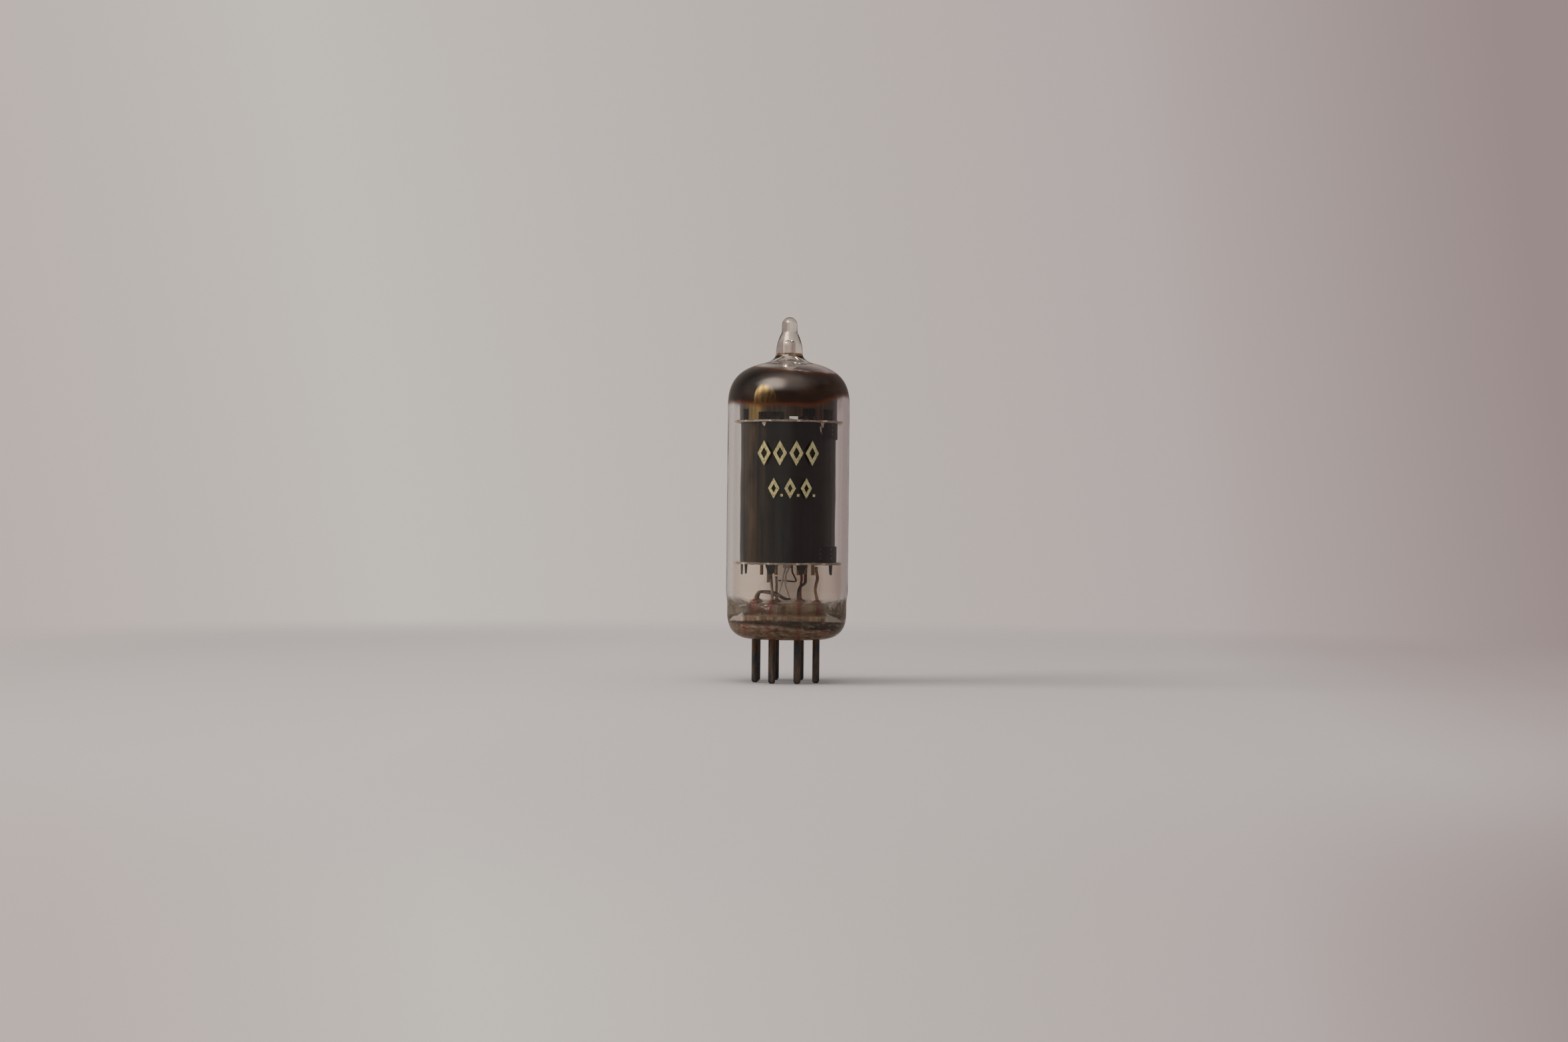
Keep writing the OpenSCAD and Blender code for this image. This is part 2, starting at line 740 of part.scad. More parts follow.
// A hairpin heater: up one side of the sleeve, over, and down the other
module heater() {
    x = heater_gap / 2;
    foot_z = low_mica_z - cathode_tail;
    loop_z = deck_z;
    color("white")
    wire(concat(
        smooth([
            heater_end_a,
            [heater_end_a.x + 0.3, heater_end_a.y + 0.3, lead_z(0.35)],
            [-0.5, -0.4, lead_z(0.65)],
            [-x, 0, foot_z - 0.1],
            [-x, 0, foot_z + 0.3]
        ], 3),
        [for (a = [180 : -30 : 0]) [x * cos(a), 0, loop_z + x * sin(a)]],
        smooth([
            [x, 0, foot_z + 0.3],
            [x, 0, foot_z - 0.1],
            [-0.1, 0.2, lead_z(0.7)],
            [-0.2, 0.45, lead_z(0.35)],
            heater_end_b
        ], 3)
    ), heater_d, 6);
}

module getter_post() {
    color("gray")
    translate([-getter_d / 2, 0, deck_z + top_h])
    cylinder(h = getter_post_h, d = getter_post_d);
}

module getter_ring() {
    color("darkslategray")
    translate([0, 0, getter_z])
    rotate_extrude()
    translate([getter_d / 2, 0])
    circle(d = getter_tube_d);
}

// The metal that the getter has left on the inside of the dome
module getter_film() {
    outer = [for (i = [film_from : film_to]) inner_dome_points[i]];
    inner = [for (i = [film_from : film_to])
        let (d = unit(inner_dome_points[i + 1] - inner_dome_points[i - 1]))
            inner_dome_points[i] + film_t * [-d.y, d.x]];
    color("saddlebrown", 0.9)
    rotate_extrude()
    polygon(concat(outer, reversed(inner)));
}

glass_bulb();
button_stem();
lower_mica();
upper_mica();
shield_can();
upper_seam_clip();
lower_seam_clip();
top_shield();
anode();
suppressor_grid();
screen_grid();
control_grid();
cathode();
cathode_strap();
heater();
getter_post();
getter_ring();
getter_film();
for (k = [1 : pins]) {
    pin(k);
    seal_wire(k);
    inner_lead(k);
}
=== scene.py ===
"""The looks of a seven-pin miniature pentode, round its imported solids. Lengths are in millimetres."""

import math
import random

import bpy
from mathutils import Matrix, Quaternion, Vector, noise


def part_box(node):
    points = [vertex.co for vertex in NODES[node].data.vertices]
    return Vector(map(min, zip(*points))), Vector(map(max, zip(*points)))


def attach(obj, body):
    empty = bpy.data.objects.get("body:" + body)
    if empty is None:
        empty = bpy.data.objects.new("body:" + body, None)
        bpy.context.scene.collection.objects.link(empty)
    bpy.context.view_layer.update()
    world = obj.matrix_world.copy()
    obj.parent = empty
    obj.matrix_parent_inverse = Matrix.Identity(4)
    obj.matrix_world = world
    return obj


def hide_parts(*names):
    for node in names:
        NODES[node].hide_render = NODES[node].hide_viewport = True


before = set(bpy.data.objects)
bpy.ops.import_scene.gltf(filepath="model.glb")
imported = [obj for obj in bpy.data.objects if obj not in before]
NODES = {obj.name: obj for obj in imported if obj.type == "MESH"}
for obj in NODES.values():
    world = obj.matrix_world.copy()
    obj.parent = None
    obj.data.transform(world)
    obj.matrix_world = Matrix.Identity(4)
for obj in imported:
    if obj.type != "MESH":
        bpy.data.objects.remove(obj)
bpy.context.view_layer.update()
MM = 0.001


def node_box(node):
    """Lowest and highest corner of a solid."""
    low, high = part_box(node)
    return low / MM, high / MM


# Places and sizes that the solids give
BASE_Z = node_box("button_stem")[0].z
STEM_TOP_Z = node_box("button_stem")[1].z
BULB_R = node_box("glass_bulb")[1].x
TIP_Z = node_box("glass_bulb")[1].z
LOW_MICA_Z = node_box("lower_mica")[0].z
CAGE_Z = node_box("lower_seam_clip")[0].z
CAGE_TOP_Z = node_box("upper_seam_clip")[1].z
DECK_Z = node_box("upper_mica")[1].z
CAN_R = node_box("shield_can")[1].x
PLACES = 8
PINS = range(1, PLACES)
PIN_PLACES = [sum(node_box(f"pin_{k}"), Vector()) / 2 for k in PINS]

# Sizes of the glass that its solids don't show from outside, as in their source
WALL = 0.9
FOOT_DRAW = 0.2
CORNER_H = 3.6
FOOT_H = 7.4
SHOULDER_H = 2.8
TROUGH_H = 3.1
MOUND_H = 0.55
MOUND_R = 0.8
MOUND_TOP_R = 0.44
BUTTON_MARGIN = 1.14
BUTTON_ROUND = 0.45
FLAT_MARGIN = 0.33
HEAD_SPACE = 2.45
DOME_H = 5.95
DOME_WALL = 0.85
NECK_R = 3.9
NECK_WALL = 0.5
NECK_H = 1.45
TIP_ROOT_R = 1.93
BELL_H = 3.2
TIP_R = 1.13
BORE_R = 0.62
BORE_H = 1.9

PIN_R = node_box("pin_1")[1].x - PIN_PLACES[0].x
PIN_CIRCLE_R = Vector(PIN_PLACES[0][:2]).length
BUTTON_Z = STEM_TOP_Z - MOUND_H
INNER_R = BULB_R - WALL
FOOT_R = BULB_R - FOOT_DRAW
FLAT_R = PIN_CIRCLE_R + PIN_R + FLAT_MARGIN
BUTTON_R = PIN_CIRCLE_R + BUTTON_MARGIN
VALLEY_W = INNER_R - BUTTON_R
TROUGH_R = BUTTON_R + 0.415 * VALLEY_W
TROUGH_Z = BASE_Z + TROUGH_H
DOME_Z = DECK_Z + HEAD_SPACE
NECK_Z = DOME_Z + DOME_H
ROOT_Z = NECK_Z + NECK_H
BELL_TOP_Z = ROOT_Z + BELL_H
THROAT_R = NECK_R - NECK_WALL
THROAT_Z = DOME_Z + DOME_H - DOME_WALL
THROAT_H = ROOT_Z - THROAT_Z

SEGMENTS = 160
TURNS = [math.tau * j / SEGMENTS for j in range(SEGMENTS)]


# Meshes

def bezier(points, steps, start=0.0):
    """Points of a cubic curve in the plane of radius and height, from a share of it to its end."""
    found = []
    for i in range(steps + 1):
        t = start + (1 - start) * i / steps
        weights = ((1 - t) ** 3, 3 * t * (1 - t) ** 2, 3 * t * t * (1 - t), t ** 3)
        found.append(tuple(sum(w * p[k] for w, p in zip(weights, points)) for k in (0, 1)))
    return found


def straight(a, b, steps):
    """Points between a and b, without either."""
    return [tuple(a[k] + (b[k] - a[k]) * i / steps for k in (0, 1)) for i in range(1, steps)]


def arc(centre, radius, start, end, steps):
    """Points of an arc, from one angle in degrees to another."""
    found = []
    for i in range(steps + 1):
        a = math.radians(start + (end - start) * i / steps)
        found.append((centre[0] + radius * math.cos(a), centre[1] + radius * math.sin(a)))
    return found


def inner_dome(steps):
    """From the inside of the bulb up to the throat."""
    rise = DOME_H - DOME_WALL
    return bezier(
        [
            (INNER_R, DOME_Z),
            (INNER_R, DOME_Z + 0.53 * rise),
            (INNER_R - 0.3 * (INNER_R - THROAT_R), DOME_Z + 0.85 * rise),
            (THROAT_R, THROAT_Z),
        ],
        steps,
    )


def throat():
    """From the bore down to the inside of the dome."""
    return bezier(
        [
            (BORE_R, ROOT_Z - 0.17 * THROAT_H),
            (1.16 * BORE_R, ROOT_Z - 0.43 * THROAT_H),
            (0.5 * THROAT_R, THROAT_Z + 0.15 * THROAT_H),
            (THROAT_R, THROAT_Z),
        ],
        steps=14,
    )


def glass_outside():
    """From the middle of the underside, over the foot, bulb and dome, to the end of the tip."""
    corner = bezier(
        [
            (FLAT_R, BASE_Z),
            (FLAT_R + 0.7 * (FOOT_R - FLAT_R), BASE_Z + 0.07 * CORNER_H),
            (FOOT_R, BASE_Z + 0.47 * CORNER_H),
            (FOOT_R, BASE_Z + CORNER_H),
        ],
        steps=18,
    )
    shoulder = bezier(
        [
            (FOOT_R, BASE_Z + FOOT_H - SHOULDER_H),
            (FOOT_R, BASE_Z + FOOT_H - SHOULDER_H / 2),
            (BULB_R, BASE_Z + FOOT_H - SHOULDER_H / 2),
            (BULB_R, BASE_Z + FOOT_H),
        ],
        steps=12,
    )
    dome = bezier(
        [
            (BULB_R, DOME_Z),
            (BULB_R, DOME_Z + 0.555 * DOME_H),
            (BULB_R - 0.3 * (BULB_R - NECK_R), DOME_Z + 0.857 * DOME_H),
            (NECK_R, NECK_Z),
        ],
        steps=32,
    )
    neck = bezier(
        [
            (NECK_R, NECK_Z),
            (NECK_R - 0.55 * (NECK_R - TIP_ROOT_R), NECK_Z + 0.18 * NECK_H),
            (1.05 * TIP_ROOT_R, NECK_Z + 0.45 * NECK_H),
            (TIP_ROOT_R, ROOT_Z),
        ],
        steps=14,
        start=0.06,
    )
    bell = bezier(
        [
            (TIP_ROOT_R, ROOT_Z),
            (1.03 * TIP_ROOT_R, ROOT_Z + 0.38 * BELL_H),
            (TIP_R + 0.5 * (TIP_ROOT_R - TIP_R), ROOT_Z + 0.72 * BELL_H),
            (TIP_R, BELL_TOP_Z),
        ],
        steps=16,
        start=0.06,
    )
    return (
        [(0, BASE_Z)]
        + straight((0, BASE_Z), corner[0], 8)
        + corner
        + straight(corner[-1], shoulder[0], 4)
        + shoulder
        + straight(shoulder[-1], dome[0], 26)
        + dome
        + neck
        + bell
        + arc((0, TIP_Z - TIP_R), TIP_R, 0, 78, 7)
        + [(0, TIP_Z)]
    )


def glass_inside():
    """From the top of the bore, down the inside of the bulb, round the trough and over the button."""
    top = ROOT_Z + BORE_H
    bore = (BORE_R, top - 0.6 * BORE_R)
    neck = throat()
    dome = inner_dome(30)[::-1]
    foot = bezier(
        [
            (INNER_R, BASE_Z + FOOT_H),
            (INNER_R, TROUGH_Z + 0.62 * (FOOT_H - TROUGH_H)),
            (INNER_R - 0.22 * VALLEY_W, TROUGH_Z + 0.12 * (FOOT_H - TROUGH_H)),
            (TROUGH_R, TROUGH_Z),
        ],
        steps=18,
    )
    side_foot = (BUTTON_R + 0.22 * VALLEY_W, TROUGH_Z + 0.1 * (BUTTON_Z - TROUGH_Z))
    edge = arc((BUTTON_R - BUTTON_ROUND, BUTTON_Z - BUTTON_ROUND), BUTTON_ROUND, 0, 90, 6)
    within_mounds = (3.6, BUTTON_Z)
    return (
        [(0, top), (0.6 * BORE_R, top - 0.1 * BORE_R), bore]
        + straight(bore, neck[0], 8)
        + neck
        + dome[1:]
        + straight(dome[-1], foot[0], 26)
        + foot
        + straight(foot[-1], side_foot, 3)
        + [side_foot]
        + straight(side_foot, edge[0], 8)
        + edge
        + straight(edge[-1], within_mounds, 14)
        + [within_mounds]
        + straight(within_mounds, (0, BUTTON_Z), 6)
        + [(0, BUTTON_Z)]
    )


def polar(r, angle, z):
    return Vector((r * math.cos(angle), r * math.sin(angle), z))


def add_bands(first, rings, sides, faces):
    """Faces between rings of vertices that follow one another."""
    for low in range(first, first + (rings - 1) * sides, sides):
        for j in range(sides):
            k = (j + 1) % sides
            faces.append((low + j, low + k, low + sides + k, low + sides + j))


def add_fan(tip, ring, sides, faces, flipped=False):
    """Faces from one vertex to a ring of them."""
    for j in range(sides):
        k = (j + 1) % sides
        faces.append((tip, ring + k, ring + j) if flipped else (tip, ring + j, ring + k))


def lathe(profile, shape, vertices, faces):
    """Turns a profile that starts and ends on the axis, and adds it to a mesh under way."""
    first = len(vertices)
    vertices.append(Vector((0, 0, profile[0][1])))
    for r, z in profile[1:-1]:
        vertices += [shape(r, angle, z) for angle in TURNS]
    vertices.append(Vector((0, 0, profile[-1][1])))
    last = len(vertices) - 1
    add_fan(first, first + 1, SEGMENTS, faces, flipped=True)
    add_bands(first + 1, len(profile) - 2, SEGMENTS, faces)
    add_fan(last, last - SEGMENTS, SEGMENTS, faces)


def make_object(name, vertices, faces, material, smooth=True):
    mesh = bpy.data.meshes.new(name)
    mesh.from_pydata([Vector(v) * MM for v in vertices], [], faces)
    mesh.validate()
    mesh.polygons.foreach_set("use_smooth", [smooth] * len(mesh.polygons))
    mesh.materials.append(material)
    piece = bpy.data.objects.new(name, mesh)
    bpy.context.scene.collection.objects.link(piece)
    return piece


def make_skin(name, profile, shape, material):
    """An open skin, turned from a profile that stays off the axis."""
    vertices = [shape(r, angle, z) for r, z in profile for angle in TURNS]
    faces = []
    add_bands(0, len(profile), SEGMENTS, faces)
    return make_object(name, vertices, faces, material)


def smooth_step(low, high, value):
    t = min(max((value - low) / (high - low), 0), 1)
    return t * t * (3 - 2 * t)


def ripple(point, scale, seed):
    """Smooth noise between about -1 and 1."""
    return noise.noise(point * scale + Vector((seed, 2 * seed, 3 * seed)))


# Nodes

def srgb(red, green, blue):
    """A colour as a screen shows it, in linear light."""
    def linear(c):
        c = c / 255
        return c / 12.92 if c <= 0.04045 else ((c + 0.055) / 1.055) ** 2.4
    return (linear(red), linear(green), linear(blue), 1.0)


class Nodes:
    """Adds nodes to a tree. The first call gives the node itself, and the others give its output."""

    def __init__(self, owner):
        owner.use_nodes = True
        self.tree = owner.node_tree
        self.tree.nodes.clear()

    def add(self, kind, inputs=None, **settings):
        node = self.tree.nodes.new("ShaderNode" + kind)
        for key, value in settings.items():
            setattr(node, key, value)
        for key, value in (inputs or {}).items():
            if isinstance(value, bpy.types.NodeSocket):
                self.tree.links.new(value, node.inputs[key])
            else:
                node.inputs[key].default_value = value
        return node

    def math(self, operation, a, b=0.0):
        return self.add("Math", {0: a, 1: b}, operation=operation).outputs[0]

    def in_turn(self, operation, values):
        """Takes in the values one after another."""
        total = values[0]
        for value in values[1:]:
            total = self.math(operation, total, value)
        return total

    def plus(self, *values):
        return self.in_turn("ADD", values)

    def minus(self, *values):
        return self.in_turn("SUBTRACT", values)

    def times(self, *values):
        return self.in_turn("MULTIPLY", values)

    def most(self, *values):
        return self.in_turn("MAXIMUM", values)

    def gap(self, value, *places):
        """Distance from the nearest of the places, or from 0."""
        gaps = [self.math("ABSOLUTE", self.minus(value, place)) for place in places or (0.0,)]
        return self.in_turn("MINIMUM", gaps)

    def shares(self, *parts):
        """A mixture of values, given as pairs of value and share."""
        return self.plus(*(self.times(value, share) for value, share in parts))

    def range(self, value, low, high, to_low=0.0, to_high=1.0, kind="SMOOTHSTEP"):
        inputs = {0: value, 1: low, 2: high, 3: to_low, 4: to_high}
        return self.add("MapRange", inputs, interpolation_type=kind).outputs[0]

    def band(self, value, rise, fall):
        """1 inside and 0 outside. Each edge goes from where it is 0 to where it is 1."""
        return self.times(self.range(value, *rise), self.range(value, *fall))

    def ramp(self, value, *stops):
        """Tones, each given by the value that it stands at and by what a screen shows."""
        node = self.add("ValToRGB", {0: value})
        elements = node.color_ramp.elements
        while len(elements) < len(stops):
            elements.new(0.5)
        for element, (place, *tone) in zip(elements, stops):
            element.position = place
            element.color = srgb(*tone)
        return node.outputs[0]

    def mix(self, share, a, b, blend="MIX"):
        inputs = {"Factor": share, 6: a, 7: b}
        return self.add("Mix", inputs, data_type="RGBA", blend_type=blend).outputs[2]

    def tint(self, colour, by):
        return self.mix(1.0, colour, by, "MULTIPLY")

    def mix_shaders(self, share, a, b):
        return self.add("MixShader", {0: share, 1: a, 2: b}).outputs[0]


class Tree(Nodes):
    """The nodes of a material, from the object's coordinates in millimetres to its surface."""

    def __init__(self, name):
        self.material = bpy.data.materials.new(name)
        super().__init__(self.material)
        inputs = {0: self.add("TexCoord").outputs["Object"], "Scale": 1 / MM}
        self.mm = self.add("VectorMath", inputs, operation="SCALE").outputs["Vector"]

    def stretched(self, stretch):
        return self.add("VectorMath", {0: self.mm, 1: stretch}, operation="MULTIPLY").outputs["Vector"]

    def length(self, vector):
        return self.add("VectorMath", {0: vector}, operation="LENGTH").outputs["Value"]

    def axes(self):
        return self.add("SeparateXYZ", {0: self.mm}).outputs

    def noise(self, scale, detail, roughness, stretch=(1, 1, 1), distortion=0.0):
        inputs = {
            "Vector": self.stretched(stretch),
            "Scale": scale,
            "Detail": detail,
            "Roughness": roughness,
            "Distortion": distortion,
        }
        return self.add("TexNoise", inputs).outputs["Fac"]

    def wave(self, height, *settings):
        """Noise about 0, in millimetres."""
        return self.times(self.minus(self.noise(*settings), 0.5), height)

    def bump(self, height, strength, depth, normal=None):
        inputs = {"Height": height, "Strength": strength, "Distance": depth * MM}
        if normal is not None:
            inputs["Normal"] = normal
        return self.add("Bump", inputs).outputs[0]

    def principled(self, **inputs):
        names = {key.replace("_", " "): value for key, value in inputs.items()}
        return self.add("BsdfPrincipled", names).outputs[0]

    def finish(self, shader):
        self.add("OutputMaterial", {"Surface": shader})
        return self.material

    def surface(self, **inputs):
        return self.finish(self.principled(**inputs))

    def lit_through(self, colour, **inputs):
        """A surface that lets lamplight through in a colour, in place of a dark shadow."""
        clear = self.add("BsdfTransparent", {"Color": colour}).outputs[0]
        shadow = self.add("LightPath").outputs["Is Shadow Ray"]
        return self.finish(self.mix_shaders(shadow, self.principled(**inputs), clear))


# Finishes of the sheets and wires

def sheet_metal(name, dark, light, metallic, rough=(0.35, 0.5), gloss=0.5):
    """Rolled sheet: streaks along its length, blotches and a fine grain."""
    t = Tree(name)
    streaks = t.noise(1.6, 5, 0.6, (1, 1, 0.035))
    blotches = t.noise(0.35, 4, 0.6)
    grain = t.noise(9, 4, 0.6, (1, 1, 0.25))
    return t.surface(
        Base_Color=t.ramp(t.shares((streaks, 0.6), (blotches, 0.4)), (0.32, *dark), (0.68, *light)),
        Metallic=metallic,
        Roughness=t.range(streaks, 0.3, 0.7, *rough),
        Specular_IOR_Level=gloss,
        Normal=t.bump(grain, 0.25, 0.02),
    )


def wire_metal(name, dark, light, metallic=0.8):
    """Drawn wire with oxide in bands and spots."""
    t = Tree(name)
    bands = t.noise(1.2, 5, 0.65, (1, 1, 0.7), 0.6)
    spots = t.noise(6, 4, 0.6)
    return t.surface(
        Base_Color=t.ramp(t.shares((bands, 0.7), (spots, 0.3)), (0.35, *dark), (0.65, *light)),
        Metallic=metallic,
        Roughness=t.range(bands, 0.3, 0.7, 0.35, 0.6),
        Normal=t.bump(spots, 0.3, 0.02),
    )


def seal_material():
    """Coppered wire in the glass: dull red in the glass, grey at the pins."""
    t = Tree("seal_wire")
    z = t.axes()[2]
    bands = t.noise(1.6, 4, 0.6, (1, 1, 0.6))
    red = t.ramp(bands, (0.35, 104, 36, 26), (0.65, 170, 74, 54))
    grey = t.ramp(bands, (0.35, 78, 68, 62), (0.65, 128, 112, 102))
    return t.surface(
        Base_Color=t.mix(t.range(z, BASE_Z + 0.3, BASE_Z + 1.2), grey, red),
        Metallic=0.35,
        Roughness=0.5,
        Normal=t.bump(bands, 0.3, 0.02),
    )


def pin_material():
    """Oxidised pin: bands of blue-black and brown, with golden-brown stains under the glass."""
    t = Tree("pin_metal")
    z = t.axes()[2]
    bands = t.noise(1.3, 5, 0.6, (1, 1, 0.18))
    spots = t.noise(5, 4, 0.6)
    oxide = t.ramp(
        bands,
        (0.3, 48, 46, 50),
        (0.45, 66, 72, 82),
        (0.58, 104, 88, 74),
        (0.72, 138, 118, 102),
    )
    patches = t.range(t.noise(0.9, 4, 0.6, (1, 1, 0.6)), 0.46, 0.58)
    stain = t.times(t.range(z, BASE_Z - 2.6, BASE_Z - 0.9), patches, 0.75)
    return t.surface(
        Base_Color=t.mix(stain, oxide, srgb(124, 84, 44)),
        Metallic=0.8,
        Roughness=t.range(spots, 0.3, 0.7, 0.3, 0.55),
        Normal=t.bump(spots, 0.3, 0.02),
    )


def can_material():
    """Blackened can with a few pale specks. Its tone round the can is painted reflection: brown streaks
    of painted highlight left of the middle, dark in front and paler towards its sides.
    """
    t = Tree("can_sheet")
    x, y = t.axes()[:2]
    turn = t.plus(t.math("ARCTAN2", x, t.times(y, -1.0)), t.wave(0.05, 0.12, 2, 0.5))
    # Painted reflection by the turn round the can: brown painted highlights about 25 to 40 degrees left
    # of the front, dark in front, paler at the sides
    tone = t.ramp(
        t.range(turn, -math.pi, math.pi, kind="LINEAR"),
        (0.0, 40, 34, 28),
        (0.27, 60, 46, 36),
        (0.33, 64, 50, 36),
        (0.355, 66, 51, 34),
        (0.385, 88, 66, 42),
        (0.408, 36, 28, 20),
        (0.428, 60, 48, 33),
        (0.45, 34, 29, 22),
        (0.52, 24, 20, 15),
        (0.6, 27, 22, 17),
        (0.68, 34, 28, 23),
        (0.74, 60, 51, 45),
        (1.0, 40, 34, 28),
    )
    streaks = t.noise(1.5, 5, 0.65, (1, 1, 0.035))
    blotches = t.noise(0.45, 4, 0.6, (1, 1, 0.4))
    shade = t.range(t.shares((streaks, 0.6), (blotches, 0.4)), 0.4, 0.6, 0.0, 0.85)
    colour = t.mix(shade, tone, srgb(12, 9, 6))
    cells = t.add("TexVoronoi", {"Vector": t.mm, "Scale": 1.1}).outputs["Distance"]
    colour = t.mix(t.range(cells, 0.03, 0.06, 0.35, 0.0), colour, srgb(140, 128, 112))
    grain = t.noise(8, 4, 0.65, (1, 1, 0.3))
    return t.surface(
        Base_Color=colour,
        Metallic=0.3,
        Roughness=t.range(streaks, 0.3, 0.7, 0.36, 0.5),
        Specular_IOR_Level=0.12,
        Normal=t.bump(grain, 0.22, 0.02),
    )


def top_material():
    """Drawn cap of brownish metal with fine upright streaks. Golden metal in a band at the left is a
    painted highlight, and its right edge is painted darker as shade.
    """
    t = Tree("top_sheet")
    x = t.axes()[0]
    streaks = t.noise(4.5, 4, 0.6, (1, 1, 0.02))
    broad = t.noise(0.8, 3, 0.5, (1, 1, 0.1))
    lightness = t.range(streaks, 0.35, 0.65)
    metal = t.mix(lightness, srgb(118, 94, 50), srgb(172, 140, 82))
    tarnish = t.mix(lightness, srgb(52, 39, 28), srgb(80, 62, 44))
    # Painted shade: darker towards the right edge
    tarnish = t.mix(t.range(x, 5.2, 6.4), tarnish, srgb(24, 19, 15))
    # Painted highlight: golden metal in a band left of the middle
    painted_highlight_band = t.times(t.band(x, (-6.2, -5.0), (-2.4, -3.9)), t.range(broad, 0.7, 0.4, 0.3, 1.0))
    return t.surface(
        Base_Color=t.mix(painted_highlight_band, tarnish, metal),
        Metallic=0.9,
        Roughness=t.range(streaks, 0.3, 0.7, 0.28, 0.38),
        Normal=t.bump(streaks, 0.12, 0.02),
    )


def mica_material():
    """Split mica: pale, a little see-through, with ragged whitish layers at its edge."""
    t = Tree("mica")
    layers = t.noise(2.2, 5, 0.65, (1, 1, 4), 0.8)
    flecks = t.noise(7, 3, 0.6)
    return t.surface(
        Base_Color=t.ramp(layers, (0.3, 146, 120, 98), (0.5, 212, 194, 174), (0.7, 244, 234, 218)),
        Roughness=t.range(flecks, 0.3, 0.7, 0.25, 0.6),
        Specular_IOR_Level=0.6,
        Transmission_Weight=0.1,
        Normal=t.bump(layers, 0.4, 0.05),
    )


def coating_material(name, dark, light):
    """A dull, chalky coating."""
    t = Tree(name)
    spots = t.noise(4, 4, 0.6)
    return t.surface(
        Base_Color=t.ramp(spots, (0.35, *dark), (0.65, *light)),
        Roughness=0.75,
        Normal=t.bump(spots, 0.4, 0.03),
    )


def print_material():
    """Cream-gold printed ink, worn thin in places."""
    t = Tree("printed_marks")
    wear = t.noise(3.2, 5, 0.65)
    return t.surface(
        Base_Color=t.ramp(wear, (0.32, 132, 118, 80), (0.5, 186, 172, 126), (0.7, 204, 194, 152)),
        Roughness=0.5,
        Metallic=0.1,
        Normal=t.bump(wear, 0.3, 0.02),
    )


# Finishes of the glass and of the skins in it

# A pair of places here is where something is still 0 and where it is full. Names in _W are distances
# from the middle.

# Light through the glass takes the square root of a tint at each face
CLEAR_TINT = (0.93, 0.92, 0.905, 1)
NECK_TINT = (0.88, 0.835, 0.775, 1)
# Painted shade: a smoky tint below the lower mica, paler at the left and darker at the right
SHADE_TINT_LEFT = (0.97, 0.87, 0.79, 1)
SHADE_TINT_RIGHT = (0.78, 0.69, 0.61, 1)
FOOT_TINT = (0.74, 0.67, 0.6, 1)
# Painted shade at the rear of the bulb, below the lower mica
BACK_SHADE_TINT = (0.5, 0.42, 0.35, 1)
TROUGH_TINT = (0.78, 0.66, 0.53, 1)
GLASS_SHADOW = (0.88, 0.88, 0.87, 1)
INNER_FACE_R = (FOOT_R - 0.25, FOOT_R - 0.45)
NECK_TINT_Z = (NECK_Z - 1.5, NECK_Z)
# Where the painted shade below the lower mica fades in, and from left to right
SHADE_TINT_Z = (LOW_MICA_Z + 0.6, LOW_MICA_Z - 0.4)
SHADE_TINT_X = (-5.5, 2.5)
FOOT_TINT_Z = (BASE_Z + 5.6, BASE_Z + 4.2)
TROUGH_TINT_Z = (TROUGH_Z + 0.7, TROUGH_Z + 0.2)
# Where the painted shade at the rear stands
BACK_SHADE_X = 0.6
BACK_SHADE_W = (5.2, 1.8)
BACK_SHADE_Y = (3.0, 7.0)

# The dark fold in the foot, the bars and clear glass over it, painted pale as light through it, the
# seeds beside it, and painted shade on the glass behind it
FOLD_Z = 8.65
FOLD_INSET = 0.4
FOLD_LEAN = 0.04
FOLD_TILT = 0.08
FOLD_FOOT_Z = (FOLD_Z - 0.9, FOLD_Z - 0.4)
FOLD_TOP_Z = (FOLD_Z + 0.32, FOLD_Z + 0.14)
BELOW_FOLD_Z = (FOLD_Z + 0.15, FOLD_Z - 0.1)
SPECKLE_Z = (FOLD_Z + 0.2, FOLD_Z + 0.4)
BARS_Z = ((FOLD_Z + 0.1, FOLD_Z + 0.25), (FOLD_Z + 1.3, FOLD_Z + 0.6))
BARS_W = (6.3, 6.0)
GOLDEN_BARS_X = (1.8, 3.6)
GOLDEN_BAR_X = -3.9
GOLDEN_BAR_W = (0.7, 0.3)
# Where the clear glass over the fold is painted pale, as light through it
CLEAR_FOOT_Z = (FOLD_Z + 0.1, FOLD_Z + 0.3)
CLEAR_TOP_Z = (13.3, 13.0)
CLEAR_SLOPE = 0.52
CLEAR_W = ((5.5, 6.1), (8.2, 7.6))
SEEDS_W = (6.0, 6.6)
SEEDS_FOOT_Z = (11.1, 11.6)
SEEDS_FOOT_SLOPE = 0.22
SEEDS_TOP_Z = (7.5, 6.6)
SEEDS_TOP_SLOPE = 0.62
# Where painted shade darkens the glass behind the fold
REAR_SHADE_W = (6.2, 5.2)
REAR_SHADE_Y = (0.0, 3.0)
REAR_SHADE_Z = ((9.9, 10.4), (12.4, 11.6))

# Where the red wires show, on both sides of the middle
FOLD_WIRES = (2.05, 5.55)
BUTTON_WIRES = (2.0, 4.4)
BUTTON_WIRES_Z = (STEM_TOP_Z - 0.3, STEM_TOP_Z - 0.7)
# Painted light: the glass of the button turns paler from here to the right
BUTTON_PAINTED_LIGHT_X = (-1.0, 4.0)

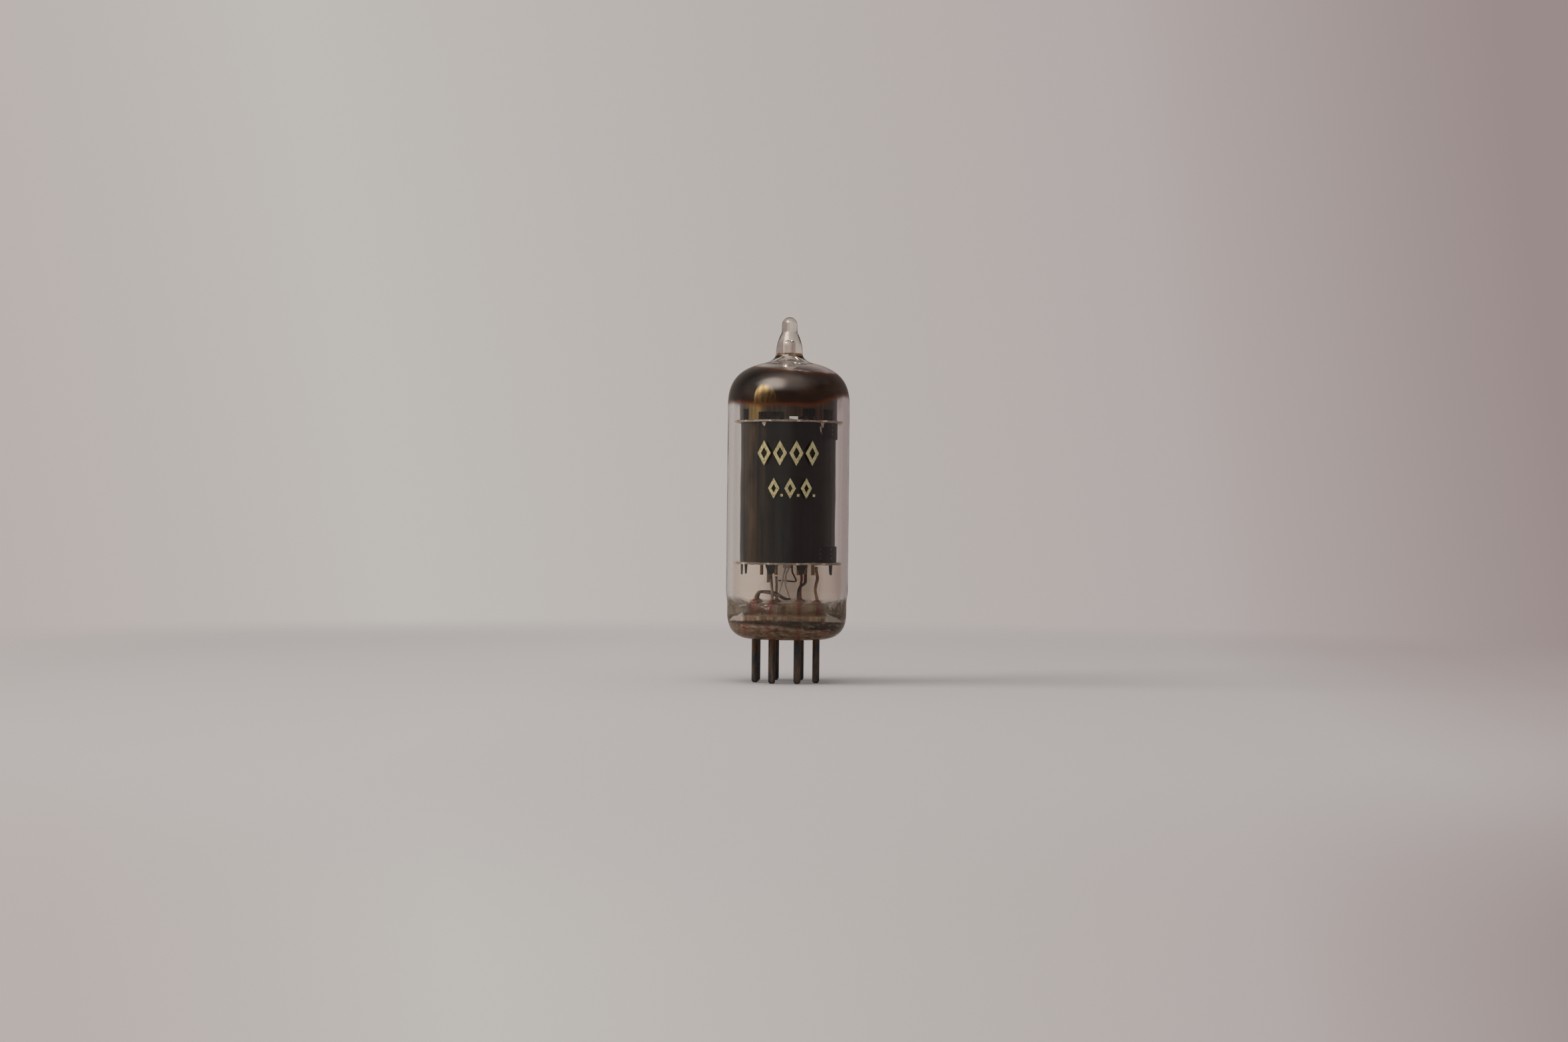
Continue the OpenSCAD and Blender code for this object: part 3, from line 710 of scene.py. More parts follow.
# Lower and upper edge of the film
FILM_Z = (39.5, 44.76)
FILM_SUNK = 0.025
FILM_SHADOW = (0.75, 0.7, 0.62, 1)
FILM_TILT = 0.07
FILM_RISE_X = (3.5, 8.0)
FILM_RISE_RIGHT = 1.5
FILM_RISE_LEFT = 0.5
FILM_DARK_X = (-3.5, 4.0)
FILM_DENSE_Z = (41.6, 42.8)
# Place, half width and arch height of a golden painted highlight on the film, where its painted glint
# fades in, and its streaks
PAINTED_HIGHLIGHT_X = -2.85
PAINTED_HIGHLIGHT_W = 1.12
PAINTED_HIGHLIGHT_Z = 42.5
PAINTED_GLINT_Z = (40.6, 42.2)
PAINTED_HIGHLIGHT_STREAKS = 8.2


def glass_material():
    """Clear glass, smooth on the bulb and uneven where the stem was pressed and sealed to it. Its inner
    face carries the tints: a smoky tint of painted shade below the lower mica, darker to the right, a
    deeper painted shade at its rear there, and the tints of the foot and the trough."""
    t = Tree("bulb_glass")
    x, y, z = t.axes()
    radius = t.length(t.stretched((1, 1, 0)))
    inside = t.range(radius, *INNER_FACE_R)
    foot = t.range(z, *FOOT_TINT_Z)
    below_mica = t.range(z, *SHADE_TINT_Z)
    colour = t.mix(t.range(z, *NECK_TINT_Z), CLEAR_TINT, NECK_TINT)
    # Painted shade: a smoky tint below the lower mica, darker to the right
    painted_shade = t.mix(t.range(x, *SHADE_TINT_X), SHADE_TINT_LEFT, SHADE_TINT_RIGHT)
    colour = t.mix(t.times(below_mica, inside), colour, painted_shade)
    colour = t.mix(t.times(foot, inside), colour, FOOT_TINT)
    # Painted shade at the rear, below the lower mica and behind the middle
    stain = t.times(t.range(y, *BACK_SHADE_Y), t.range(t.gap(x, BACK_SHADE_X), *BACK_SHADE_W), below_mica)
    colour = t.mix(stain, colour, BACK_SHADE_TINT)
    trough = t.times(t.range(z, *TROUGH_TINT_Z), inside)
    colour = t.mix(trough, colour, TROUGH_TINT)

    uneven = t.times(foot, t.plus(t.times(inside, 0.9), 0.1), 0.4)
    drawn = t.noise(0.28, 2, 0.5, (1, 1, 0.5))
    pressed = t.noise(1.4, 4, 0.6, (1, 1, 1.6), 0.4)
    return t.lit_through(
        GLASS_SHADOW,
        Base_Color=colour,
        Roughness=0.0,
        IOR=1.5,
        Transmission_Weight=1.0,
        Normal=t.bump(pressed, uneven, 0.12, t.bump(drawn, 0.12, 0.12)),
    )


def folds_material():
    """Smoky glass where the button was fused to the bulb: brown streaks up to a dark fold, then upright
    bars in the middle, clear glass beside them that is painted pale as light through it, and seeds at
    the sides. A speckled band of painted shade darkens the glass behind."""
    t = Tree("seal_folds")
    x, y, z = t.axes()
    away = t.gap(x)
    height = t.plus(z, t.times(y, FOLD_LEAN), t.wave(0.35, 0.35, 3, 0.5))
    ragged = t.plus(height, t.wave(0.5, 1.3, 4, 0.6))
    streaks = t.noise(0.62, 4, 0.6, (1, 1, 3.4), 0.8)
    fine = t.noise(2.0, 4, 0.6, (0.7, 0.7, 1.9), 0.5)
    tone = t.shares((streaks, 0.6), (fine, 0.4))
    body = t.ramp(
        tone,
        (0.36, 48, 33, 24),
        (0.45, 118, 94, 76),
        (0.53, 162, 136, 114),
        (0.62, 216, 198, 178),
    )
    seeds = t.noise(2.0, 5, 0.6, (1, 1, 0.7))
    speckle = t.ramp(seeds, (0.36, 100, 84, 66), (0.5, 124, 107, 88), (0.64, 152, 136, 116))
    colour = t.mix(t.range(height, *SPECKLE_Z), body, speckle)

    bars = t.times(t.band(height, *BARS_Z), t.range(away, *BARS_W))
    upright = t.noise(1.2, 3, 0.5, (1, 1, 0.1))
    brown = t.ramp(upright, (0.36, 74, 50, 36), (0.5, 118, 92, 70), (0.64, 164, 137, 108))
    golden = t.ramp(upright, (0.36, 104, 76, 50), (0.5, 150, 118, 84), (0.64, 190, 160, 122))
    lit = t.most(t.range(x, *GOLDEN_BARS_X), t.range(t.gap(x, GOLDEN_BAR_X), *GOLDEN_BAR_W))
    colour = t.mix(bars, colour, t.mix(lit, brown, golden))

    below = t.range(height, *BELOW_FOLD_Z)
    broken = t.range(t.noise(1.1, 3, 0.5, (1, 1, 0.5)), 0.42, 0.55)
    wires = t.times(below, t.range(t.gap(away, *FOLD_WIRES), 0.4, 0.15), broken, 0.5)
    colour = t.mix(wires, colour, srgb(168, 62, 46))
    fold = t.times(
        t.range(t.plus(height, t.times(x, FOLD_TILT)), *FOLD_FOOT_Z),
        t.range(height, *FOLD_TOP_Z),
        t.range(tone, 0.68, 0.5, 0.6, 1.0),
    )
    colour = t.mix(t.times(fold, 0.9), colour, srgb(20, 10, 6))
    # The glass is clear there, and its pale colour is painted light that comes through it
    clear = t.times(
        t.range(height, *CLEAR_FOOT_Z),
        t.range(t.plus(ragged, t.times(away, CLEAR_SLOPE)), *CLEAR_TOP_Z),
        t.band(away, *CLEAR_W),
    )
    colour = t.mix(clear, colour, srgb(222, 208, 194))
    # Painted shade: a speckled brown band on the glass behind
    rear = t.times(t.range(y, *REAR_SHADE_Y), t.range(away, *REAR_SHADE_W), t.band(height, *REAR_SHADE_Z))
    colour = t.mix(rear, colour, srgb(122, 96, 74))

    seedy = t.times(
        t.range(away, *SEEDS_W),
        t.range(t.plus(ragged, t.times(away, SEEDS_FOOT_SLOPE)), *SEEDS_FOOT_Z),
        t.range(t.minus(ragged, t.times(away, SEEDS_TOP_SLOPE)), *SEEDS_TOP_Z),
    )
    cover = t.most(
        t.times(below, t.range(tone, 0.64, 0.42, 0.55, 0.9)),
        t.times(fold, 0.92),
        t.times(seedy, t.range(seeds, 0.36, 0.6, 0.8, 0.5)),
        t.times(clear, 0.55),
        t.times(bars, 0.75),
        t.times(rear, t.range(seeds, 0.36, 0.6, 0.5, 0.3)),
    )
    return t.surface(
        Base_Color=colour,
        Roughness=0.4,
        Specular_IOR_Level=0.2,
        Alpha=cover,
        Normal=t.bump(seeds, 0.25, 0.05),
    )


def haze_material():
    """Brownish glass of the button, with painted light that makes it paler to the right: upright folds
    from the mould, and the red wires that show in it."""
    t = Tree("stem_haze")
    x, y, z = t.axes()
    upright = t.noise(1.5, 4, 0.6, (1, 1, 0.07))
    narrow = t.noise(3.2, 3, 0.55, (1, 1, 0.05))
    cloud = t.noise(1.6, 4, 0.6)
    tone = t.shares((upright, 0.45), (narrow, 0.3), (cloud, 0.25))
    brown = t.ramp(
        tone,
        (0.4, 44, 26, 17),
        (0.47, 96, 66, 47),
        (0.53, 140, 108, 80),
        (0.59, 214, 190, 156),
    )
    # Painted light: paler towards the right
    colour = t.mix(t.range(x, *BUTTON_PAINTED_LIGHT_X, 0.0, 0.7), brown, srgb(226, 192, 146))
    # This cosine is -1 at each place of the pin circle
    turn = t.math("COSINE", t.times(t.math("ARCTAN2", y, x), PLACES))
    front = t.times(t.range(t.gap(t.gap(x), *BUTTON_WIRES), 0.42, 0.16), t.range(y, -1.0, -2.0))
    rear = t.times(t.range(turn, -0.78, -0.96), t.range(y, -2.0, -1.0))
    wires = t.times(
        t.most(front, rear),
        t.range(z, *BUTTON_WIRES_Z),
        t.range(cloud, 0.38, 0.5, 0.35, 0.75),
    )
    return t.surface(
        Base_Color=t.mix(wires, colour, srgb(160, 56, 40)),
        Roughness=0.4,
        Specular_IOR_Level=0.2,
        Alpha=t.range(tone, 0.6, 0.42, 0.4, 0.85),
        Normal=t.bump(cloud, 0.4, 0.05),
    )


def film_material():
    """Dark brown metal, darkest at the left, with a golden painted highlight left of the middle and a
    brighter painted glint along its arched top. It thins to an orange edge below and to a pale veil
    above."""
    t = Tree("getter_film")
    low, high = FILM_Z
    x, y, z = t.axes()
    height = t.plus(z, t.wave(0.4, 0.5, 3, 0.5))
    bottom = t.minus(
        height,
        t.range(x, *FILM_RISE_X, 0.0, FILM_RISE_RIGHT),
        t.range(t.times(x, -1.0), *FILM_RISE_X, 0.0, FILM_RISE_LEFT),
    )
    top = t.plus(height, t.times(x, FILM_TILT))
    fade_in = t.range(bottom, low, low + 0.9)
    fade_out = t.range(top, high - 0.28, high)
    clouds = t.range(t.noise(0.35, 3, 0.55), 0.35, 0.65)
    left = t.mix(clouds, srgb(22, 9, 3), srgb(42, 24, 14))
    right = t.mix(clouds, srgb(50, 34, 25), srgb(72, 51, 39))
    body = t.mix(t.range(x, *FILM_DARK_X), left, right)
    thick = t.times(t.range(bottom, low + 0.25, low + 1.05), t.range(top, high, high - 0.55))
    colour = t.mix(thick, srgb(134, 67, 31), body)
    colour = t.mix(fade_out, colour, srgb(128, 98, 76))

    # The painted highlight hangs from an arch, drawn in shares of its half width
    aside = t.math("DIVIDE", t.minus(x, PAINTED_HIGHLIGHT_X), PAINTED_HIGHLIGHT_W)
    square = t.times(aside, aside)
    depth = t.minus(PAINTED_HIGHLIGHT_Z, t.times(square, square, 0.4), z)
    front = t.times(t.range(y, 0.5, -0.5), t.range(t.gap(aside), 1.7, 1.15))
    wobble = t.plus(x, t.times(t.noise(0.7, 3, 0.5), 0.9))
    streaks = t.range(t.math("COSINE", t.times(wobble, PAINTED_HIGHLIGHT_STREAKS)), -1.0, 1.0, 0.46, 0.6)
    # Painted highlight: golden streaks hanging below the arch
    painted_highlight_fill = t.times(
        front,
        t.range(depth, -0.3, 0.6),
        t.range(depth, 3.4, 0.6, 0.1, 0.75),
        t.range(streaks, 0.38, 0.62, 0.25, 1.0),
        t.range(aside, 1.2, -0.8, 0.35, 1.0),
    )
    # Painted glint along the top of the arch
    painted_glint = t.times(
        front,
        t.band(depth, (-0.4, 0.2), (1.2, 0.2)),
        t.range(streaks, 0.38, 0.6, 0.35, 0.75),
        t.range(aside, 1.3, -0.4, 0.2, 1.0),
        t.range(z, *PAINTED_GLINT_Z, 0.1, 1.0),
    )
    colour = t.mix(painted_highlight_fill, colour, srgb(134, 100, 56))
    colour = t.mix(painted_glint, colour, srgb(226, 190, 124))

    cover = t.times(fade_in, t.minus(1.0, fade_out), t.range(z, *FILM_DENSE_Z, 0.87, 0.96))
    veil = t.times(
        t.range(t.noise(1.0, 4, 0.6, (1, 1, 0.5), 0.4), 0.45, 0.62),
        t.range(z, high + 1.5, high - 0.1, 0.0, 0.14),
        fade_out,
    )
    return t.lit_through(
        FILM_SHADOW,
        Base_Color=colour,
        Metallic=t.range(painted_glint, 0.0, 0.8, 0.75, 0.35),
        Roughness=0.38,
        Specular_IOR_Level=0.3,
        Alpha=t.most(cover, veil),
    )


# The glass in one piece, from the pressed stem to the sealed tip

BUBBLES = 150
BUBBLE_SEED = 17
BUBBLE_RINGS = 5
BUBBLE_SIDES = 8
BUBBLE_R = (0.05, 0.2)
BUBBLE_FLAT = (0.3, 0.8)
BUBBLES_R = (3.2, 7.6)
BUBBLES_H = (0.7, 2.6)

# Heights and radii between which the glass turns uneven, and how deep it is then
SOFT_Z = (12, 8.5)
SOFT_R = (5, 6.5)
SOFT_DEPTH = 0.03
BULB_DEPTH = 0.015
ROUGH_Z = (13, 10.5)
FLUTE_R = (BUTTON_R - 0.8, BUTTON_R - 0.2)
FLUTE_DEPTH = 0.28

SKIN_SUNK = 0.2
NECK_SEAL_R = 1.35
NECK_SEAL_W = 0.32


def mound(point):
    """Height of the glass round the nearest lead."""
    gap = min(math.hypot(point.x - p.x, point.y - p.y) for p in PIN_PLACES)
    return MOUND_H * smooth_step(MOUND_R, MOUND_TOP_R, gap)


def outer_shape(r, angle, z):
    """The outside, a little uneven, and more so on the foot."""
    soft = BULB_DEPTH + SOFT_DEPTH * smooth_step(*SOFT_Z, z) * smooth_step(*SOFT_R, r)
    return polar(r + soft * ripple(polar(r, angle, z), 0.45, 3), angle, z)


def inner_shape(r, angle, z):
    """The inside: a button with mounds on it and flutes between them, and a rough valley round it."""
    point = polar(r, angle, z)
    if r < BUTTON_R + 0.05 and z < BUTTON_Z + 0.1:
        near = min(abs(math.remainder(angle - math.atan2(p.y, p.x), math.tau)) for p in PIN_PLACES)
        r -= FLUTE_DEPTH * smooth_step(*FLUTE_R, r) * smooth_step(0.1, 0.38, near)
        point = polar(r, angle, z)
        lift = mound(point) * smooth_step(BUTTON_R, BUTTON_R - 0.6, r)
        point.z += lift + 0.05 * ripple(point, 1.3, 5)
        return point
    rough = smooth_step(*ROUGH_Z, z)
    r += 0.09 * rough * ripple(point, 0.8, 7)
    z += 0.1 * rough * ripple(point, 0.9, 11)
    return polar(r, angle, z)


def skin_shape(r, angle, z):
    return polar(r + 0.05 * ripple(polar(r, angle, z), 1.1, 21), angle, z)


def add_bubble(centre, radius, flat, vertices, faces):
    """A small hollow in the glass, so its faces look inwards."""
    first = len(vertices)
    for i in range(1, BUBBLE_RINGS):
        a = math.pi * i / BUBBLE_RINGS
        for j in range(BUBBLE_SIDES):
            offset = polar(math.sin(a), math.tau * j / BUBBLE_SIDES, flat * math.cos(a))
            vertices.append(centre + radius * offset)
    top = len(vertices)
    vertices += [centre + polar(0, 0, radius * flat), centre - polar(0, 0, radius * flat)]
    add_fan(top, first, BUBBLE_SIDES, faces, flipped=True)
    add_fan(top + 1, top - BUBBLE_SIDES, BUBBLE_SIDES, faces)
    add_bands(first, BUBBLE_RINGS - 1, BUBBLE_SIDES, faces)


def make_glass():
    vertices, faces = [], []
    lathe(glass_outside(), outer_shape, vertices, faces)
    lathe(glass_inside(), inner_shape, vertices, faces)
    chance = random.Random(BUBBLE_SEED)
    for _ in range(BUBBLES):
        angle = chance.uniform(0, math.tau)
        centre = polar(chance.uniform(*BUBBLES_R), angle, BASE_Z + chance.uniform(*BUBBLES_H))
        add_bubble(centre, chance.uniform(*BUBBLE_R), chance.uniform(*BUBBLE_FLAT), vertices, faces)
    piece = make_object("sealed_glass", vertices, faces, glass_material())
    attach(piece, "root")
    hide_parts("glass_bulb", "button_stem")


def make_haze():
    """Skins in the glass that carry its smoke, folds and seeds: in foot, button and neck."""
    folds = []
    for r, z in glass_outside():
        if r > 2 and z < TROUGH_Z + 3.4:
            inset = FOLD_INSET * smooth_step(1.5, 4, r)
            folds.append((r - inset, z + FOLD_INSET * smooth_step(BASE_Z + 3.2, BASE_Z, z)))
    inset = BUTTON_ROUND + SKIN_SUNK
    edge = arc((BUTTON_R - inset, BUTTON_Z - inset), BUTTON_ROUND, 0, 90, 4)
    foot = (BUTTON_R - SKIN_SUNK, TROUGH_Z - 0.55)
    button = [foot] + straight(foot, edge[0], 6) + edge
    button += straight(button[-1], (0.4, edge[-1][1]), 7)
    neck = arc((NECK_SEAL_R, ROOT_Z - 0.2), NECK_SEAL_W, -60, 60, 6)
    haze = haze_material()
    for name, profile, shape, material, slot in (
        ("seal_folds", folds, skin_shape, folds_material(), "stem_glass"),
        ("stem_haze", button, inner_shape, haze, "stem_glass"),
        ("neck_haze", neck, skin_shape, haze, "bulb_glass"),
    ):
        piece = make_skin(name, profile, shape, material)
        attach(piece, "root")


def make_film():
    """A thin skin in the inner face of the dome, so that the glass shows it out to its edge."""
    profile = [(INNER_R, FILM_Z[0] - 0.6)] + inner_dome(40) + throat()[-2:-10:-1]
    sunk = []
    for i, (r, z) in enumerate(profile):
        before, after = profile[max(i - 1, 0)], profile[min(i + 1, len(profile) - 1)]
        along = (Vector(after) - Vector(before)).normalized()
        sunk.append((r + FILM_SUNK * along.y, z - FILM_SUNK * along.x))
    piece = make_skin("getter_mirror", sunk, polar, film_material())
    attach(piece, "root")
    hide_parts("getter_film")


# Printed marks, in place of the lettering, which is left off

PRINT_R = BULB_R + 0.035
DOT_W = 0.36
DOT_PLACE = (1.15, -1.0)
# Height of each row, where its diamonds stand, their width, height and stroke, and if dots follow them
ROWS = (
    (33.05, (-3.05, -0.7, 1.65, 4.0), 1.95, 3.1, 0.46, False),
    (28.05, (-1.55, 0.8, 3.15), 1.6, 2.5, 0.42, True),
)


def outline(points, width):
    """A closed band of even width along a polygon: its outer and inner corners."""
    count = len(points)
    outer, inner = [], []
    for i, p in enumerate(points):
        before = (p - points[i - 1]).normalized()
        after = (points[(i + 1) % count] - p).normalized()
        side = Vector((before.y + after.y, -before.x - after.x)).normalized()
        reach = width / 2 / max(0.4, side.dot(Vector((after.y, -after.x))))
        outer.append(p + side * reach)
        inner.append(p - side * reach)
    return outer, inner


def add_patch(corners, steps, vertices, faces):
    """A four-cornered patch on the bulb, split so that it follows the curve. A corner is given by its
    way along the glass from the front and its height."""
    first = len(vertices)
    a, b, c, d = corners
    for i in range(steps + 1):
        for p in (a.lerp(b, i / steps), d.lerp(c, i / steps)):
            vertices.append(polar(PRINT_R, p.x / BULB_R - math.pi / 2, p.y))
    for k in range(first, first + 2 * steps, 2):
        faces.append((k, k + 2, k + 3, k + 1))


def add_diamond(x, z, width, height, stroke, vertices, faces):
    """An open diamond."""
    w, h = width / 2 - stroke / 2, height / 2 - stroke / 2
    points = [Vector(p) for p in ((x, z - h), (x + w, z), (x, z + h), (x - w, z))]
    outer, inner = outline(points, stroke)
    for i in range(4):
        k = (i + 1) % 4
        add_patch((outer[i], outer[k], inner[k], inner[i]), 6, vertices, faces)


def add_dot(x, z, vertices, faces):
    w = DOT_W / 2
    corners = [Vector(p) for p in ((x - w, z - w), (x + w, z - w), (x + w, z + w), (x - w, z + w))]
    add_patch(corners, 4, vertices, faces)


def make_print():
    """Two rows of open diamonds, the lower ones with a dot after each."""
    vertices, faces = [], []
    for z, places, width, height, stroke, dotted in ROWS:
        for x in places:
            add_diamond(x, z, width, height, stroke, vertices, faces)
            if dotted:
                add_dot(x + DOT_PLACE[0], z + DOT_PLACE[1], vertices, faces)
    piece = make_object("printed_marks", vertices, faces, print_material(), smooth=False)
    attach(piece, "root")


# Ragged layers of the micas

MICA_GAP = 0.65
BULB_GAP = 0.12
LAYER_W = 0.9
LAYER_STEPS = 260
FLAKE_GAP = 0.3
# Share of a flake's length, and of its width there
FLAKE_ROWS = ((-0.25, 1), (0.2, 1), (0.6, 0.6), (1, 0.2))


def make_mica_layers(name, layers, seed, flakes):
    """Thin split layers at the rim of a mica, and small flakes that hang from it. A layer is given by
    its height and reach, a flake by its place, the height of its root, its length and its width."""
    chance = random.Random(seed)
    vertices, faces = [], []
    rim = INNER_R - MICA_GAP
    for z, reach in layers:
        first = len(vertices)
        for i in range(LAYER_STEPS):
            angle = math.tau * i / LAYER_STEPS
            spot = polar(1, angle, z)
            tear = reach * (0.5 + 0.9 * ripple(spot, 6, seed) + 0.5 * ripple(spot, 17, seed))
            outer = rim + max(-0.25, min(tear, MICA_GAP - BULB_GAP))
            bend = 0.11 * ripple(spot, 11, seed + 1)
            vertices.append(polar(rim - LAYER_W, angle, z))
            vertices.append(polar(outer, angle, z + bend))
        for i in range(LAYER_STEPS):
            a, b = first + 2 * i, first + 2 * ((i + 1) % LAYER_STEPS)
            faces.append((a, a + 1, b + 1, b))
    for x, z, length, width in flakes:
        angle = math.asin(x / (CAN_R + FLAKE_GAP)) - math.pi / 2
        first = len(vertices)
        for share, spread in FLAKE_ROWS:
            for side in (-1, 1):
                turn = side * spread * width / 2 / CAN_R + chance.uniform(-0.012, 0.012)
                vertices.append(polar(CAN_R + 0.28 + 0.08 * share, angle + turn, z - length * share))
        for k in range(first, len(vertices) - 2, 2):
            faces.append((k, k + 1, k + 3, k + 2))
    piece = make_object(name, vertices, faces, NODES["upper_mica"].data.materials[0])
    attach(piece, "root")


# Weld marks on the seam clips

CLIP_T = 0.23
WELD_SHARES = (0.3, 0.55, 0.85)
WELD_X = (4.9, 6.3)
WELD_R = 0.17
WELD_H = 0.06
WELD_SIDES = 10


def make_welds():
    """Round weld marks down the edges of the seam clips."""
    vertices, faces = [], []
    face_r = CAN_R + CLIP_T
    for clip in ("lower_seam_clip", "upper_seam_clip"):
        low, high = node_box(clip)
        for share in WELD_SHARES:
            for x in WELD_X:
                angle = math.asin(x / face_r) - math.pi / 2
                z = low.z + share * (high.z - low.z)
                first = len(vertices)
                vertices.append(polar(face_r + WELD_H, angle, z))
                for j in range(WELD_SIDES):
                    a = math.tau * j / WELD_SIDES
                    turn = WELD_R * math.cos(a) / CAN_R
                    vertices.append(polar(face_r - 0.005, angle + turn, z + WELD_R * math.sin(a)))
                add_fan(first, first + 1, WELD_SIDES, faces)
    material = sheet_metal("weld_marks", (28, 24, 20), (70, 60, 52), 0.6)
    piece = make_object("clip_welds", vertices, faces, material)
    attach(piece, "root")


# Finishes of the solids that stay

def paint(material, *nodes):
    for node in nodes:
        materials = NODES[node].data.materials
        materials.clear()
        materials.append(material)


def paint_solids():
    paint(mica_material(), "lower_mica", "upper_mica")
    paint(can_material(), "shield_can")
    clip = sheet_metal("clip_sheet", (3, 3, 2), (9, 8, 6), 0.0, (0.5, 0.65), 0.05)
    paint(clip, "upper_seam_clip", "lower_seam_clip")
    paint(top_material(), "top_shield")
    paint(sheet_metal("anode_sheet", (22, 26, 28), (52, 58, 60), 0.5), "anode")
    grid = wire_metal("grid_wire", (86, 64, 42), (190, 156, 108))
    paint(grid, "suppressor_grid", "screen_grid", "control_grid")
    paint(coating_material("cathode_sleeve", (170, 160, 150), (214, 208, 200)), "cathode")
    paint(wire_metal("dark_wire", (26, 20, 17), (74, 58, 48)), "cathode_strap", "getter_post")
    paint(coating_material("heater_coating", (196, 188, 180), (236, 232, 226)), "heater")
    paint(wire_metal("getter_metal", (40, 32, 28), (90, 74, 62)), "getter_ring")
    paint(pin_material(), *(f"pin_{k}" for k in PINS))
    paint(seal_material(), *(f"seal_wire_{k}" for k in PINS))
    for name, dark, light, metallic, leads in (
        ("lead_wire", (72, 60, 50), (176, 156, 132), 0.6, (2, 4, 5)),
        ("lead_wire_dark", (30, 22, 18), (92, 72, 56), 0.6, (3, 6)),
        ("lead_wire_copper", (70, 22, 14), (190, 72, 44), 0.5, (1,)),
        ("lead_wire_gold", (84, 62, 44), (214, 178, 134), 0.6, (7,)),
    ):
        paint(wire_metal(name, dark, light, metallic), *(f"inner_lead_{k}" for k in leads))


# Floor, backdrop, lights and camera

FLOOR_FADE = (120, 235)
FLOOR_R = 240
FLOOR_SIDES = 96
FLOOR_W = 115
# Painted shade: the floor turns darker towards its sides, most towards the right
FLOOR_TONES = (
    (0.0, 174, 168, 165),
    (0.35, 183, 178, 175),
    (0.8, 181, 175, 172),
    (1.0, 172, 160, 157),
)
FLOOR_GLOSS = (0.5, 0.45, 0.4, 1)
FLOOR_GLOW = 0.8
BACKDROP_LEAN = 0.18
BACKDROP_W = 0.36
# Painted shade: the backdrop turns darker towards the right
BACKDROP = (
    (0.0, 184, 176, 173),
    (0.2, 190, 186, 182),
    (0.65, 178, 170, 168),
    (0.85, 154, 140, 138),
)
AMBIENT = 0.6
AMBIENT_TONE = (0.93, 0.93, 0.95, 1)
WARM = (1, 0.93, 0.84, 1)
# Azimuth, elevation and half width in degrees, radiance, height where it starts, and tone
SOFT_LAMPS = (
    (-72, 32, 42, 0.25, 0.0, (1, 0.98, 0.95, 1)),
    (-37, 42, 36, 7.0, 0.35, (1, 0.88, 0.78, 1)),
    (-14, 45, 68, 1.5, 0.35, (1, 0.88, 0.76, 1)),
)
# Name, azimuth and elevation in degrees, distance, size and power in watts
PANELS = (
    ("key", -72, 32, 700, 420, 2.6),
    ("top", -8, 80, 620, 300, 0.85),
)
PANEL_AIM = Vector((0, 0, 27))

# The camera of the photograph: level, a little to the right of the front
CAMERA_AZIMUTH = math.radians(3.3)
CAMERA_ROLL = math.radians(0.6)
CAMERA_DISTANCE = 357
CAMERA_Z = 23.4
CAMERA_SHIFT_X = -0.53
VIEW_WIDTH = 228.1
SENSOR_WIDTH = 36


def way(azimuth, elevation):
    """The way to a place round the tube. Azimuth is counted from the front towards the right."""
    a, e = math.radians(azimuth), math.radians(elevation)
    return Vector((math.sin(a) * math.cos(e), -math.cos(a) * math.cos(e), math.sin(e)))


def make_floor():
    """A pale sheet that fades into the backdrop, painted darker to its sides and most to the right, as
    shade. Gloss sees it dim and warm, and the glass sees through itself most of it without the tube's
    shadow."""
    t = Tree("floor")
    across = t.range(t.axes()[0], -FLOOR_W, FLOOR_W, kind="LINEAR")
    colour = t.ramp(across, *FLOOR_TONES)
    path = t.add("LightPath").outputs
    glow = t.add("Emission", {0: colour}).outputs[0]
    seen = t.mix(path["Is Glossy Ray"], colour, t.tint(colour, FLOOR_GLOSS))
    shader = t.principled(Base_Color=seen, Roughness=1.0, Specular_IOR_Level=0.0)
    shader = t.mix_shaders(t.times(path["Is Transmission Ray"], FLOOR_GLOW), shader, glow)
    clear = t.add("BsdfTransparent").outputs[0]
    material = t.finish(t.mix_shaders(t.range(t.length(t.mm), *FLOOR_FADE), shader, clear))
    rim = [polar(FLOOR_R, math.tau * j / FLOOR_SIDES, 0) for j in range(FLOOR_SIDES)]
    floor = make_object("floor", rim, [tuple(range(FLOOR_SIDES))], material, smooth=False)


